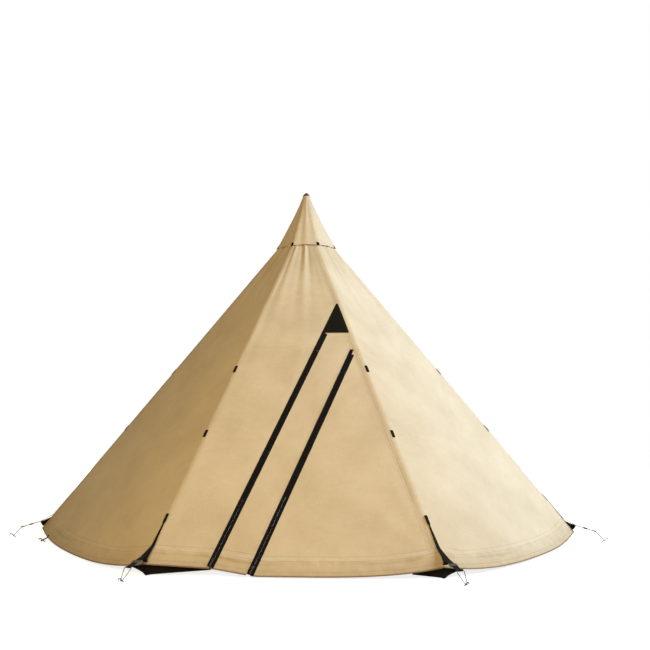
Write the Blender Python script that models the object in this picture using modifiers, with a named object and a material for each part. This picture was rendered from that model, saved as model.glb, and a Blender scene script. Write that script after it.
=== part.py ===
"""Seven-sided canvas tipi tent on one centre pole.

Metres, +Z up. The origin is on the ground under the pole. The door side faces -Y.
Side 0 is the door side, and the sides count on from -Y towards +X. Seam k lies between
side k and side k + 1, so seam 0 is at the right of the door and seam 6 at its left.
"""
import math

import bmesh
import bpy
from mathutils import Matrix, Vector

# Driving dimensions of the tent
SIDE_COUNT = 7
CORNER_RADIUS = 2.430          # pole axis to a corner of the hem
CORNER_HEIGHT = 0.080          # hem above the ground at a corner
HEM_MIDDLE_HEIGHT = 0.012      # hem above the ground in the middle of a side
DOOR_HEM_HEIGHT = 0.058        # hem above the ground at the foot of the left zip
SEAM_MEETING_HEIGHT = 2.990    # where the lines of the seams would meet over the pole
CROWN_DROP = 0.255             # top edge of the canvas under that, round the smoke vent
PANEL_BULGE = 0.064            # how far a side stands out of its plane at the hem
BULGE_LEAN_SHARE = 0.6         # how much fuller a side is towards the door than in its middle
CANVAS_THICKNESS = 0.0015
CLEARANCE = 0.0003             # between pieces that lie on each other
HEM_CURVE_POWER = 3.0

# Seams of the canvas
SEAM_LAP = 0.022               # width of the lap on the next side
SEAM_JOGGLE = 0.012            # width over which the canvas rises on to the lap
PANEL_EDGE_GAP = 0.0012        # canvas edge under a lap, back from the ridge
SIDE_SHARES = (-0.8, -0.6, -0.4, -0.2, 0.0, 0.2, 0.4, 0.6, 0.8)
HEIGHT_SHARES = (0.0, 0.03, 0.10, 0.20, 0.32, 0.46, 0.62, 0.78, 0.90, 1.0)

# Webbing tabs on the seams, and the peg loops on the hem
TAB_PLACES = (1.170, 1.840)    # middle of each tab, up the seam from the corner
TAB_LENGTH = 0.072
TAB_WIDTH = 0.026
TAB_THICKNESS = 0.004
TAB_SINK = 0.0010              # how far a tab is sewn into the ridge
HEM_LOOP_SHARE = 0.70          # place of the peg loop across a side
HEM_LOOP_SIDES = (2, 3, 4, 5, 6)
HEM_LOOP_LENGTH = 0.088
HEM_LOOP_WIDTH = 0.028
HEM_LOOP_THICKNESS = 0.0028
HEM_LOOP_DROP = 0.063          # how far the loop reaches past the hem
HEM_LOOP_FLAP = math.radians(28.0)   # its outer part, up from the line of the canvas
HEM_LOOP_EYE_LENGTH = 0.018
HEM_LOOP_PEG_GAP = 0.0004      # peg to the sides of the loop's eye

# Door side
DOOR_MARGIN = 0.050            # canvas between the right seam and the door's fold line
LEFT_ZIP_FOOT = -0.583         # where a zip crosses the line of the corners, from the middle
RIGHT_ZIP_FOOT = -0.278
ZIP_LEAN = math.radians(19.8)  # from straight up the slope
DOOR_GAP = 0.0006              # between the door and the canvas round it
ZIP_CANVAS_GAP = 0.008         # canvas edge to canvas edge under a zip
ZIP_WIDTH = 0.052              # both tapes
ZIP_TAPE_THICKNESS = 0.0012
ZIP_COIL_RADIUS = 0.0022
ZIP_HEM_MARGIN = 0.012         # tape end above the hem
COIL_SEGMENTS = 8
COIL_SEAT_SHARE = 0.7          # coil's middle over the tape, of its radius
CORNER_ARC_STEPS = 3

PATCH_HEIGHT = 0.360
PATCH_THICKNESS = 0.0016
PATCH_CORNER_RADIUS = 0.010
PATCH_EDGE_INSET = 0.030       # patch edge back from the right seam

SLIDER_LENGTH = 0.024
SLIDER_WIDTH = 0.022
SLIDER_THICKNESS = 0.0045
SLIDER_TAPER = 0.004           # how much narrower the slider's lower end is, each side
SLIDER_EDGE = 0.0010
SLIDER_FOOT_GAP = 0.055        # slider's middle above the end of the tape
BAIL_RADIUS = 0.0014
BAIL_HEIGHT = 0.0052           # bail's crossbar over the slider's face
BAIL_WIDTH = 0.0180
PULL_LENGTH = 0.062
PULL_SIDE_GAP = 0.0004         # pull to the bail's legs
PULL_THICKNESS = 0.0020
PULL_EYE_RADIUS = 0.0019
PULL_HEAD_RADIUS = 0.0044
PULL_TIP_HOLE_RADIUS = 0.0025
PULL_TIP_HOLE_INSET = 0.009
PULL_HOLE_STEPS = 10

# Ground skirt behind the hem
SKIRT_HEIGHT = 0.130
SKIRT_THICKNESS = 0.0015
SKIRT_DOOR_RETURN = 0.220      # how far it runs past the right corner, under the door
SKIRT_FOOT_INSET = 0.045       # how far its foot hangs in from the line of the canvas
SKIRT_TUCK = 0.006             # lower edge of the part tucked up behind the hem, over the hem

# Corner straps, buckles, links and pegs, in the upright plane of each seam
STRAP_TAB_TOP = 0.425          # top of the strap up the seam from the corner
STRAP_TAB_LENGTH = 0.070
STRAP_THICKNESS = 0.0024
STRAP_TOP_WIDTH = 0.015
STRAP_WIDTH = 0.050
STRAP_END_WIDTH = 0.044
STRAP_KNEE_OUT = 0.014         # where the strap turns to the peg, out from the corner
STRAP_KNEE_UP = 0.056          # and over the corner
STRAP_END_OUT = 0.176
STRAP_END_UP = 0.012
STRAP_LEG_SEAT = 0.020         # foot of the short leg, up the seam from the corner
EYE_ARC_STEPS = 8
BUCKLE_LENGTH = 0.036
BUCKLE_SIDE = 0.0045           # frame beside the strap
BUCKLE_COVER = 0.0028          # frame over and under the strap
BUCKLE_PLACE_SHARE = 0.48      # along the strap from its knee to its end
BUCKLE_SLOT = 0.0065
BUCKLE_EDGE = 0.0010
LINK_WIRE_RADIUS = 0.0032
LINK_SIDE_GAP = 0.004          # link's leg to the strap's edge
LINK_CORNER_RADIUS = 0.006
LINK_ARC_STEPS = 5
LINK_TIP_STEPS = 7
PEG_RADIUS = 0.0045
PEG_LEAN = math.radians(50.0)  # from upright, outward
PEG_EXPOSED = 0.058
PEG_HOLD = 0.026               # link's place on the peg, from the ground
PEG_REACH = 0.246              # link's far end, out from the corner
PEG_HOOK_RADIUS = 0.010
PEG_HOOK_TURN = math.radians(140.0)
PEG_HOOK_STEPS = 6
PEG_SUNK = 0.012               # cut off at the ground
WIRE_ROUND_STEPS = 2

# Vent cap and its mast
CAP_TOP_RISE = 0.178           # cap's top over the meeting of the seams
CAP_DEPTH = 0.503
CAP_TOP_RADIUS = 0.034
CAP_RIM_RADIUS = 0.281
CAP_THICKNESS = 0.0015
CAP_FLARE_POWER = 1.15
CAP_FACET_SHARE = 0.92
CAP_FOLD_DEPTH = 0.0030
CAP_FOLDS_PER_SIDE = 2
CAP_COLUMNS_PER_SIDE = 8
CAP_HEIGHT_SHARES = (0.0, 0.06, 0.14, 0.26, 0.42, 0.60, 0.80, 0.94, 1.0)
MAST_RADIUS = 0.008
MAST_REACH = 0.315             # mast's foot under the pole head's top
MAST_CONE_SHARE = 0.12         # how far down the cap its inner cone reaches
MAST_CONE_UNDERCUT = 0.030
MAST_NECK_RADIUS = 0.020
BUTTON_RADIUS = 0.034
BUTTON_HEIGHT = 0.032
BUTTON_EDGE = 0.004
MAST_COLLAR_RADIUS = 0.013
MAST_COLLAR_LENGTH = 0.008
ROUND_STEPS = 32

# Crown ring and straps that hang the canvas from the pole
CROWN_RING_DEPTH = 0.045
CROWN_WEB_THICKNESS = 0.0020
CROWN_STRAP_WIDTH = 0.025
CROWN_HUB_RADIUS = 0.052
CROWN_HUB_THICKNESS = 0.004
CROWN_HUB_DROP = 0.012         # hub's top under the pole head's top

# Centre pole
POLE_JOINT_HEIGHT = 1.520
POLE_OVERLAP = 0.200
POLE_LOWER_RADIUS = 0.0190
POLE_WALL = 0.0016
POLE_FIT = 0.0004
POLE_COLLAR_RADIUS = 0.0235
POLE_COLLAR_LENGTH = 0.040
POLE_HEAD_DROP = 0.035         # pole head's top under the meeting of the seams
POLE_HEAD_LENGTH = 0.075
POLE_HEAD_RADIUS = 0.026
POLE_HEAD_FLANGE_RADIUS = 0.040
POLE_HEAD_FLANGE_THICKNESS = 0.005
FOOT_RADIUS = 0.038
FOOT_HEIGHT = 0.060
FOOT_FLOOR = 0.014
FOOT_NECK_RADIUS = 0.025
FOOT_EDGE = 0.004

# Cutting
OVERRUN = 0.002                # how far a cutter passes the piece it cuts
MERGE = 0.00001

# Worked out from the sizes above
TURN = 2.0 * math.pi
SIDE_ANGLE = TURN / SIDE_COUNT
HALF_CHORD = CORNER_RADIUS * math.sin(SIDE_ANGLE / 2.0)
APOTHEM = CORNER_RADIUS * math.cos(SIDE_ANGLE / 2.0)
SEAM_RISE = SEAM_MEETING_HEIGHT - CORNER_HEIGHT
SLANT = math.hypot(APOTHEM, SEAM_RISE)
SLOPE = math.atan2(SEAM_RISE, APOTHEM)
NORMAL_RISE = math.cos(SLOPE)
SEAM_SLOPE = math.atan2(SEAM_RISE, CORNER_RADIUS)
CROWN_HEIGHT = SEAM_MEETING_HEIGHT - CROWN_DROP
CROWN_SHARE = (CROWN_HEIGHT - CORNER_HEIGHT) / SEAM_RISE
POLE_HEAD_HEIGHT = SEAM_MEETING_HEIGHT - POLE_HEAD_DROP
CAP_TOP_HEIGHT = SEAM_MEETING_HEIGHT + CAP_TOP_RISE
CAP_RIM_HEIGHT = CAP_TOP_HEIGHT - CAP_DEPTH
TIP_HEIGHT = CAP_TOP_HEIGHT + BUTTON_HEIGHT
MAST_FOOT_HEIGHT = POLE_HEAD_HEIGHT - MAST_REACH
LAP_LIFT = CANVAS_THICKNESS + CLEARANCE
SKIRT_GAP = (HEM_LOOP_THICKNESS - CANVAS_THICKNESS) / 2.0 + 2.0 * CLEARANCE
HEM_LOOP_EYE_WIDTH = 2.0 * (PEG_RADIUS + HEM_LOOP_PEG_GAP)
PULL_WIDTH = BAIL_WIDTH - 4.0 * BAIL_RADIUS - 2.0 * PULL_SIDE_GAP

COLOURS = {
    "canvas": ((0.66, 0.51, 0.31), 0.90, 0.0),
    "webbing": ((0.012, 0.010, 0.009), 0.75, 0.0),
    "patch": ((0.015, 0.013, 0.012), 0.70, 0.0),
    "zip": ((0.012, 0.012, 0.013), 0.55, 0.0),
    "zinc": ((0.10, 0.10, 0.11), 0.40, 1.0),
    "moulding": ((0.014, 0.014, 0.015), 0.45, 0.0),
    "steel": ((0.42, 0.43, 0.45), 0.38, 1.0),
    "aluminium": ((0.62, 0.63, 0.65), 0.30, 1.0),
    "anodised": ((0.050, 0.036, 0.024), 0.35, 1.0),
    "rubber": ((0.020, 0.020, 0.021), 0.80, 0.0),
}


def clear_scene():
    """Remove what the scene holds."""
    for item in list(bpy.data.objects):
        bpy.data.objects.remove(item, do_unlink=True)


def new_collection(name):
    """A collection in the scene."""
    collection = bpy.data.collections.new(name)
    bpy.context.scene.collection.children.link(collection)
    return collection


def new_material(name, finish):
    """A Principled material of the named finish."""
    colour, roughness, metallic = COLOURS[finish]
    material = bpy.data.materials.new(name)
    material.use_nodes = True
    shader = material.node_tree.nodes["Principled BSDF"]
    shader.inputs["Base Color"].default_value = (*colour, 1.0)
    shader.inputs["Roughness"].default_value = roughness
    shader.inputs["Metallic"].default_value = metallic
    material.diffuse_color = (*colour, 1.0)
    return material


def add_piece(name, mesh, finish, place=None):
    """One sub-part, with its own material."""
    piece = bpy.data.objects.new(name, mesh)
    PARTS.objects.link(piece)
    piece.data.materials.clear()
    piece.data.materials.append(new_material(name + "_finish", finish))
    if place is not None:
        piece.matrix_world = place
    return piece


def add_cutter(name, mesh, place=None):
    """A helper solid, kept out of the model."""
    helper = bpy.data.objects.new(name, mesh)
    HELPERS.objects.link(helper)
    helper.hide_render = True
    helper.display_type = "WIRE"
    if place is not None:
        helper.matrix_world = place
    return helper


def boolean(piece, helper, operation):
    """Cut or join a piece with a helper solid."""
    step = piece.modifiers.new(operation.lower() + "_" + helper.name, "BOOLEAN")
    step.operation = operation
    step.object = helper
    step.solver = "EXACT"


def evaluated_mesh(piece, name):
    """A piece's shape after its modifiers, as a new mesh."""
    graph = bpy.context.evaluated_depsgraph_get()
    graph.update()
    mesh = bpy.data.meshes.new_from_object(piece.evaluated_get(graph), depsgraph=graph)
    mesh.name = name
    weld(mesh)
    return mesh


def weld(mesh):
    """Join the points of a mesh that lie on each other."""
    shape = bmesh.new()
    shape.from_mesh(mesh)
    bmesh.ops.remove_doubles(shape, verts=shape.verts, dist=MERGE)
    bmesh.ops.recalc_face_normals(shape, faces=shape.faces)
    shape.to_mesh(mesh)
    shape.free()


def smooth_round(mesh, angle=math.radians(35.0)):
    """Shade a round piece smooth, with its edges sharp."""
    mesh.shade_smooth()
    mesh.set_sharp_from_angle(angle=angle)


def solidify(piece, thickness):
    """Give an open sheet its thickness, inward from its outer face."""
    step = piece.modifiers.new("thickness", "SOLIDIFY")
    step.thickness = thickness
    step.offset = -1.0
    step.use_even_offset = True


def bevel(piece, width, segments=2):
    """Round the edges of a piece."""
    step = piece.modifiers.new("rounded_edges", "BEVEL")
    step.width = width
    step.segments = segments
    step.limit_method = "ANGLE"


def sheet_mesh(name, columns, rows, place, closed=False):
    """An open sheet whose point in a column and a row is place(column, row)."""
    shape = bmesh.new()
    bmesh.ops.create_grid(shape, x_segments=columns - 1, y_segments=rows - 1, size=1.0)
    for point in shape.verts:
        column = round((point.co.x + 1.0) / 2.0 * (columns - 1))
        row = round((point.co.y + 1.0) / 2.0 * (rows - 1))
        point.co = place(column, row)
    if closed:
        bmesh.ops.remove_doubles(shape, verts=shape.verts, dist=MERGE)
    mesh = bpy.data.meshes.new(name)
    shape.to_mesh(mesh)
    shape.free()
    return mesh


def outline_mesh(name, outlines, thickness):
    """A flat piece from closed outlines in X and Y, its thickness centred on Z."""
    curve = bpy.data.curves.new(name, "CURVE")
    curve.dimensions = "2D"
    curve.fill_mode = "BOTH"
    curve.extrude = thickness / 2.0
    for outline in outlines:
        spline = curve.splines.new("POLY")
        spline.points.add(len(outline) - 1)
        spline.use_cyclic_u = True
        for target, (x, y) in zip(spline.points, outline):
            target.co = (x, y, 0.0, 1.0)
    guide = bpy.data.objects.new(name, curve)
    HELPERS.objects.link(guide)
    mesh = evaluated_mesh(guide, name)
    bpy.data.objects.remove(guide, do_unlink=True)
    return mesh


def wire_mesh(name, points, radius, cyclic=False):
    """A round wire along straight runs between points."""
    curve = bpy.data.curves.new(name, "CURVE")
    curve.dimensions = "3D"
    curve.bevel_depth = radius
    curve.bevel_resolution = WIRE_ROUND_STEPS
    curve.use_fill_caps = not cyclic
    spline = curve.splines.new("POLY")
    spline.points.add(len(points) - 1)
    spline.use_cyclic_u = cyclic
    for target, point in zip(spline.points, points):
        target.co = (*point, 1.0)
    guide = bpy.data.objects.new(name, curve)
    HELPERS.objects.link(guide)
    mesh = evaluated_mesh(guide, name)
    bpy.data.objects.remove(guide, do_unlink=True)
    return mesh


def box_mesh(name, size, centre=(0.0, 0.0, 0.0)):
    """A box of a size, about a centre."""
    shape = bmesh.new()
    bmesh.ops.create_cube(shape, size=1.0)
    bmesh.ops.scale(shape, vec=Vector(size), verts=shape.verts)
    bmesh.ops.translate(shape, vec=Vector(centre), verts=shape.verts)
    mesh = bpy.data.meshes.new(name)
    shape.to_mesh(mesh)
    shape.free()
    return mesh


def turned_piece(name, profile, finish, closed_profile):
    """A turned piece from (radius, height) points that run down the outer side first."""
    mesh = bpy.data.meshes.new(name)
    points = [Vector((radius, 0.0, height)) for radius, height in profile]
    edges = [(index, index + 1) for index in range(len(points) - 1)]
    if closed_profile:
        edges.append((len(points) - 1, 0))
    mesh.from_pydata(points, edges, [])
    piece = add_piece(name, mesh, finish)
    turn = piece.modifiers.new("turning", "SCREW")
    turn.steps = ROUND_STEPS
    turn.render_steps = ROUND_STEPS
    turn.use_merge_vertices = True
    turn.merge_threshold = MERGE
    turn.use_smooth_shade = True
    return piece


def cut_at_ground(mesh):
    """Cut off what lies under the ground and close the cut."""
    shape = bmesh.new()
    shape.from_mesh(mesh)
    everything = shape.verts[:] + shape.edges[:] + shape.faces[:]
    bmesh.ops.bisect_plane(shape, geom=everything, plane_co=(0.0, 0.0, 0.0),
                           plane_no=(0.0, 0.0, -1.0), clear_outer=True)
    rim = [edge for edge in shape.edges if edge.is_boundary]
    bmesh.ops.holes_fill(shape, edges=rim, sides=0)
    bmesh.ops.recalc_face_normals(shape, faces=shape.faces)
    shape.to_mesh(mesh)
    shape.free()


# The canvas surface
def outward(angle):
    """Level direction away from the pole, at an angle from -Y towards +X."""
    return Vector((math.sin(angle), -math.cos(angle), 0.0))


def corner(seam):
    """Hem corner at the foot of a seam."""
    point = outward((seam + 0.5) * SIDE_ANGLE) * CORNER_RADIUS
    point.z = CORNER_HEIGHT
    return point


def side_normal(side):
    """Direction out of a side's plane."""
    return outward(side * SIDE_ANGLE) * math.sin(SLOPE) + Vector((0.0, 0.0, NORMAL_RISE))


def side_bulge(side, across):
    """How far a side stands out of its plane at the hem, fuller towards the door side."""
    if side % SIDE_COUNT == 0:
        return 0.0
    towards_door = across if side > SIDE_COUNT / 2.0 else -across
    return PANEL_BULGE * (1.0 - across ** 2) * (1.0 + BULGE_LEAN_SHARE * towards_door)


def side_point(side, across, rise, lift=0.0):
    """Point of the canvas surface.

    across runs from -1 at the left seam to 1 at the right one, rise from 0 on the line of
    the corners to 1 where the seams meet, and lift is a distance out of the surface.
    """
    left = corner(side - 1)
    right = corner(side)
    base = left * (1.0 - across) / 2.0 + right * (1.0 + across) / 2.0
    meeting = Vector((0.0, 0.0, SEAM_MEETING_HEIGHT))
    bulge = side_bulge(side, across) * (1.0 - rise) ** 2
    point = base.lerp(meeting, rise) + side_normal(side) * bulge
    point.z += lift / NORMAL_RISE
    return point


def hem_height(across):
    """Height of the hem over the ground."""
    share = min(1.0, abs(across)) ** HEM_CURVE_POWER
    return HEM_MIDDLE_HEIGHT + (CORNER_HEIGHT - HEM_MIDDLE_HEIGHT) * share


def rise_at(side, across, height):
    """Rise at which a side's surface has a height near the hem."""
    out_of_plane = side_bulge(side, across) * NORMAL_RISE
    return (height - CORNER_HEIGHT - out_of_plane) / SEAM_RISE


def station_point(station, height_share):
    """Point of a sheet's column: (side, share across, distance on from there, lift)."""
    side, share, inset, lift = station
    at_hem = share + inset / HALF_CHORD
    start = rise_at(side, at_hem, hem_height(at_hem))
    rise = start + (CROWN_SHARE - start) * height_share
    across = share + inset / (HALF_CHORD * (1.0 - rise))
    return side_point(side, across, rise, lift)


def seam_frame(seam, distance, lift):
    """Place on a ridge: X across it, Y up the seam, Z straight out between the two sides."""
    foot = corner(seam)
    out = outward((seam + 0.5) * SIDE_ANGLE)
    along = -out * math.cos(SEAM_SLOPE) + Vector((0.0, 0.0, math.sin(SEAM_SLOPE)))
    normal = out * math.sin(SEAM_SLOPE) + Vector((0.0, 0.0, math.cos(SEAM_SLOPE)))
    across = along.cross(normal)
    ridge_lift = lift / NORMAL_RISE * math.cos(SEAM_SLOPE)
    place = Matrix((across, along, normal)).transposed().to_4x4()
    place.translation = foot + along * distance + normal * ridge_lift
    return place


def side_frame(side, across, rise):
    """Place on a side: X along the hem, Y up the slope, Z out of the surface."""
    step = PANEL_EDGE_GAP / SLANT
    level = (side_point(side, across + step, rise) - side_point(side, across - step, rise)).normalized()
    low = side_point(side, across, rise - step)
    up = (side_point(side, across, rise + step) - low).normalized()
    level = (level - up * level.dot(up)).normalized()
    normal = level.cross(up)
    place = Matrix((level, up, normal)).transposed().to_4x4()
    place.translation = side_point(side, across, rise)
    return place


def seam_tabs(piece, seam, lift):
    """Webbing tabs sewn on the ridge of a seam, joined to the canvas that carries it."""
    for number, distance in enumerate(TAB_PLACES):
        mesh = box_mesh("tab_{}_{}".format(seam, number), (TAB_WIDTH, TAB_LENGTH, TAB_THICKNESS),
                        (0.0, 0.0, TAB_THICKNESS / 2.0 - TAB_SINK))
        helper = add_cutter(mesh.name, mesh, seam_frame(seam, distance, lift))
        boolean(piece, helper, "UNION")


def rounded_rectangle(width, length, radius, low=0.0):
    """Outline with round corners, its lower edge at a height."""
    side = width / 2.0 - radius
    top = low + length - radius
    bottom = low + radius
    quarter = math.radians(90.0)
    points = []
    for turns, (x, y) in enumerate(((side, bottom), (side, top), (-side, top), (-side, bottom))):
        for step in range(CORNER_ARC_STEPS + 1):
            angle = quarter * (turns - 1.0 + step / CORNER_ARC_STEPS)
            points.append((x + radius * math.cos(angle), y + radius * math.sin(angle)))
    return points


def hem_loop_eye_low():
    """Lower end of a peg loop's eye, from the hem."""
    return (HEM_LOOP_WIDTH - HEM_LOOP_EYE_WIDTH) / 2.0 - HEM_LOOP_DROP


def hem_loop(piece, side, across):
    """Peg loop sewn to the hem of a side."""
    rise = rise_at(side, across, hem_height(across))
    outer = rounded_rectangle(HEM_LOOP_WIDTH, HEM_LOOP_LENGTH, HEM_LOOP_WIDTH / 3.0, -HEM_LOOP_DROP)
    eye = rounded_rectangle(HEM_LOOP_EYE_WIDTH, HEM_LOOP_EYE_LENGTH, HEM_LOOP_EYE_WIDTH / 3.0,
                            hem_loop_eye_low())
    mesh = outline_mesh("hem_loop_{}".format(side), [outer, eye], HEM_LOOP_THICKNESS)
    fold_outward(mesh, -HEM_LOOP_THICKNESS, HEM_LOOP_FLAP)
    place = side_frame(side, across, rise)
    place.translation -= side_normal(side) * CANVAS_THICKNESS / 2.0
    helper = add_cutter(mesh.name, mesh, place)
    boolean(piece, helper, "UNION")


def fold_outward(mesh, line, angle):
    """Fold the part of a flat mesh below a line in Y outward by an angle."""
    shape = bmesh.new()
    shape.from_mesh(mesh)
    everything = shape.verts[:] + shape.edges[:] + shape.faces[:]
    fold = (0.0, line, 0.0)
    bmesh.ops.bisect_plane(shape, geom=everything, plane_co=fold, plane_no=(0.0, 1.0, 0.0))
    below = [point for point in shape.verts if point.co.y < line - MERGE]
    bmesh.ops.rotate(shape, verts=below, cent=fold, matrix=Matrix.Rotation(-angle, 3, "X"))
    shape.to_mesh(mesh)
    shape.free()


def loop_across(side):
    """Place of a side's peg loop: the loops of the left and right half mirror each other."""
    return HEM_LOOP_SHARE if side <= SIDE_COUNT // 2 else -HEM_LOOP_SHARE


def side_panel(side):
    """One side of canvas, with its lap over the next side and the tabs on its seam."""
    name = "side_panel_{}".format(side)
    if side == 1:
        stations = [(0, 1.0, -DOOR_MARGIN, 0.0), (0, 1.0, -SEAM_JOGGLE, 0.0),
                    (0, 1.0, -SEAM_JOGGLE / 3.0, LAP_LIFT), (1, -1.0, 0.0, LAP_LIFT),
                    (1, -1.0, SEAM_JOGGLE / 3.0, LAP_LIFT), (1, -1.0, SEAM_JOGGLE, 0.0)]
    else:
        stations = [(side, -1.0, PANEL_EDGE_GAP, 0.0)]
    stations += [(side, share, 0.0, 0.0) for share in SIDE_SHARES]
    stations += [(side, 1.0, -SEAM_JOGGLE, 0.0), (side, 1.0, -SEAM_JOGGLE / 3.0, LAP_LIFT),
                 (side, 1.0, 0.0, LAP_LIFT), (side + 1, -1.0, SEAM_LAP, LAP_LIFT)]
    mesh = sheet_mesh(name, len(stations), len(HEIGHT_SHARES),
                      lambda column, row: station_point(stations[column], HEIGHT_SHARES[row]))
    piece = add_piece(name, mesh, "canvas")
    solidify(piece, CANVAS_THICKNESS)
    seam_tabs(piece, side, LAP_LIFT)
    if side == 1:
        seam_tabs(piece, 0, LAP_LIFT)
    if side in HEM_LOOP_SIDES:
        hem_loop(piece, side, loop_across(side))
    return piece


# The door side, laid out in its own plane: X level, Y up the slope, Z outward
def door_frame(x=0.0, y=0.0, z=0.0, turn=0.0):
    """Place in the plane of the door side, turned about its normal."""
    place = Matrix((Vector((1.0, 0.0, 0.0)), Vector((0.0, math.cos(SLOPE), math.sin(SLOPE))),
                    Vector((0.0, -math.sin(SLOPE), math.cos(SLOPE))))).transposed().to_4x4()
    place.translation = Vector((0.0, -APOTHEM, CORNER_HEIGHT))
    return place @ Matrix.Translation((x, y, z)) @ Matrix.Rotation(turn, 4, "Z")


def half_width(y):
    """Middle of the door side to its seams at a distance up the slope."""
    return HALF_CHORD * (1.0 - y / SLANT)


def zip_x(foot, y):
    """Middle line of a zip."""
    return foot + y * math.tan(ZIP_LEAN)


def fold_x(y):
    """The line that the door folds back on, beside the right seam."""
    return half_width(y) - DOOR_MARGIN


def hem_y(x):
    """Hem of the door side, which is held higher left of the left zip."""
    height = hem_height(x / HALF_CHORD)
    if x < LEFT_ZIP_FOOT:
        share = (x + HALF_CHORD) / (LEFT_ZIP_FOOT + HALF_CHORD)
        height = CORNER_HEIGHT + (DOOR_HEM_HEIGHT - CORNER_HEIGHT) * share
    elif x < RIGHT_ZIP_FOOT:
        share = (x - LEFT_ZIP_FOOT) / (RIGHT_ZIP_FOOT - LEFT_ZIP_FOOT)
        height = DOOR_HEM_HEIGHT + (hem_height(RIGHT_ZIP_FOOT / HALF_CHORD) - DOOR_HEM_HEIGHT) * share
    return (height - CORNER_HEIGHT) / math.sin(SLOPE)


def zip_low(foot):
    """Lower end of a zip's tapes."""
    return hem_y(foot) + ZIP_HEM_MARGIN


def meeting_y(line_foot, margin):
    """Where a zip's line meets the right seam's line, or a line beside it."""
    return (HALF_CHORD - margin - line_foot) / (math.tan(ZIP_LEAN) + HALF_CHORD / SLANT)


def hem_points(start, end, count=7):
    """Points of the door side's hem from left to right."""
    return [(start + (end - start) * step / count, hem_y(start + (end - start) * step / count))
            for step in range(count + 1)]


def strip_fold_x(y):
    """The line that the strip folds on, at the outer edge of the right zip's tape."""
    return zip_x(RIGHT_ZIP_FOOT, y) - (ZIP_WIDTH + DOOR_GAP) / 2.0 / math.cos(ZIP_LEAN)


def zip_edge(foot, side, y):
    """Canvas edge beside a zip, at its left (-1) or right (1)."""
    return zip_x(foot, y) + side * ZIP_CANVAS_GAP / 2.0 / math.cos(ZIP_LEAN)


def flat_canvas(name, outline, origin):
    """A flat piece of the door side's canvas, with its own origin in that plane."""
    moved = [(x - origin[0], y - origin[1]) for x, y in outline]
    mesh = outline_mesh(name, [moved], CANVAS_THICKNESS)
    return add_piece(name, mesh, "canvas", door_frame(*origin, -CANVAS_THICKNESS / 2.0))


DOOR_HEAD = meeting_y(RIGHT_ZIP_FOOT, DOOR_MARGIN)
HEM_LINE = (HEM_MIDDLE_HEIGHT - CORNER_HEIGHT) / math.sin(SLOPE)


def door_side_canvas():
    """The fixed canvas beside and over the door, the strip between the zips and the leaf."""
    crown = CROWN_SHARE * SLANT
    left_hem = hem_y(LEFT_ZIP_FOOT)
    left_foot = zip_edge(LEFT_ZIP_FOOT, -1.0, left_hem)
    fixed = hem_points(PANEL_EDGE_GAP - half_width(0.0), left_foot)
    fixed += [(zip_edge(LEFT_ZIP_FOOT, -1.0, DOOR_HEAD), DOOR_HEAD),
              (fold_x(DOOR_HEAD) - DOOR_GAP, DOOR_HEAD),
              (fold_x(crown) - DOOR_GAP, crown),
              (PANEL_EDGE_GAP - half_width(crown), crown)]
    flat_canvas("front_panel", fixed, (0.0, 0.0))
    top = DOOR_HEAD - DOOR_GAP
    strip_foot = (strip_fold_x(0.0), 0.0)
    strip_gap = DOOR_GAP / 2.0 / math.cos(ZIP_LEAN)
    strip = hem_points(zip_edge(LEFT_ZIP_FOOT, 1.0, left_hem), strip_fold_x(HEM_LINE) - strip_gap, 3)
    strip += [(strip_fold_x(top) - strip_gap, top), (zip_edge(LEFT_ZIP_FOOT, 1.0, top), top)]
    flat_canvas("door_strip", strip, strip_foot)
    leaf_line_foot = zip_edge(RIGHT_ZIP_FOOT, 1.0, 0.0)
    leaf_head = meeting_y(leaf_line_foot, DOOR_MARGIN + DOOR_GAP)
    leaf_foot = (fold_x(0.0) - DOOR_GAP / 2.0, 0.0)
    leaf = hem_points(zip_edge(RIGHT_ZIP_FOOT, 1.0, HEM_LINE), fold_x(0.0) - DOOR_GAP)
    leaf += [(fold_x(leaf_head) - DOOR_GAP, leaf_head)]
    flat_canvas("door_leaf", leaf, leaf_foot)


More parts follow.
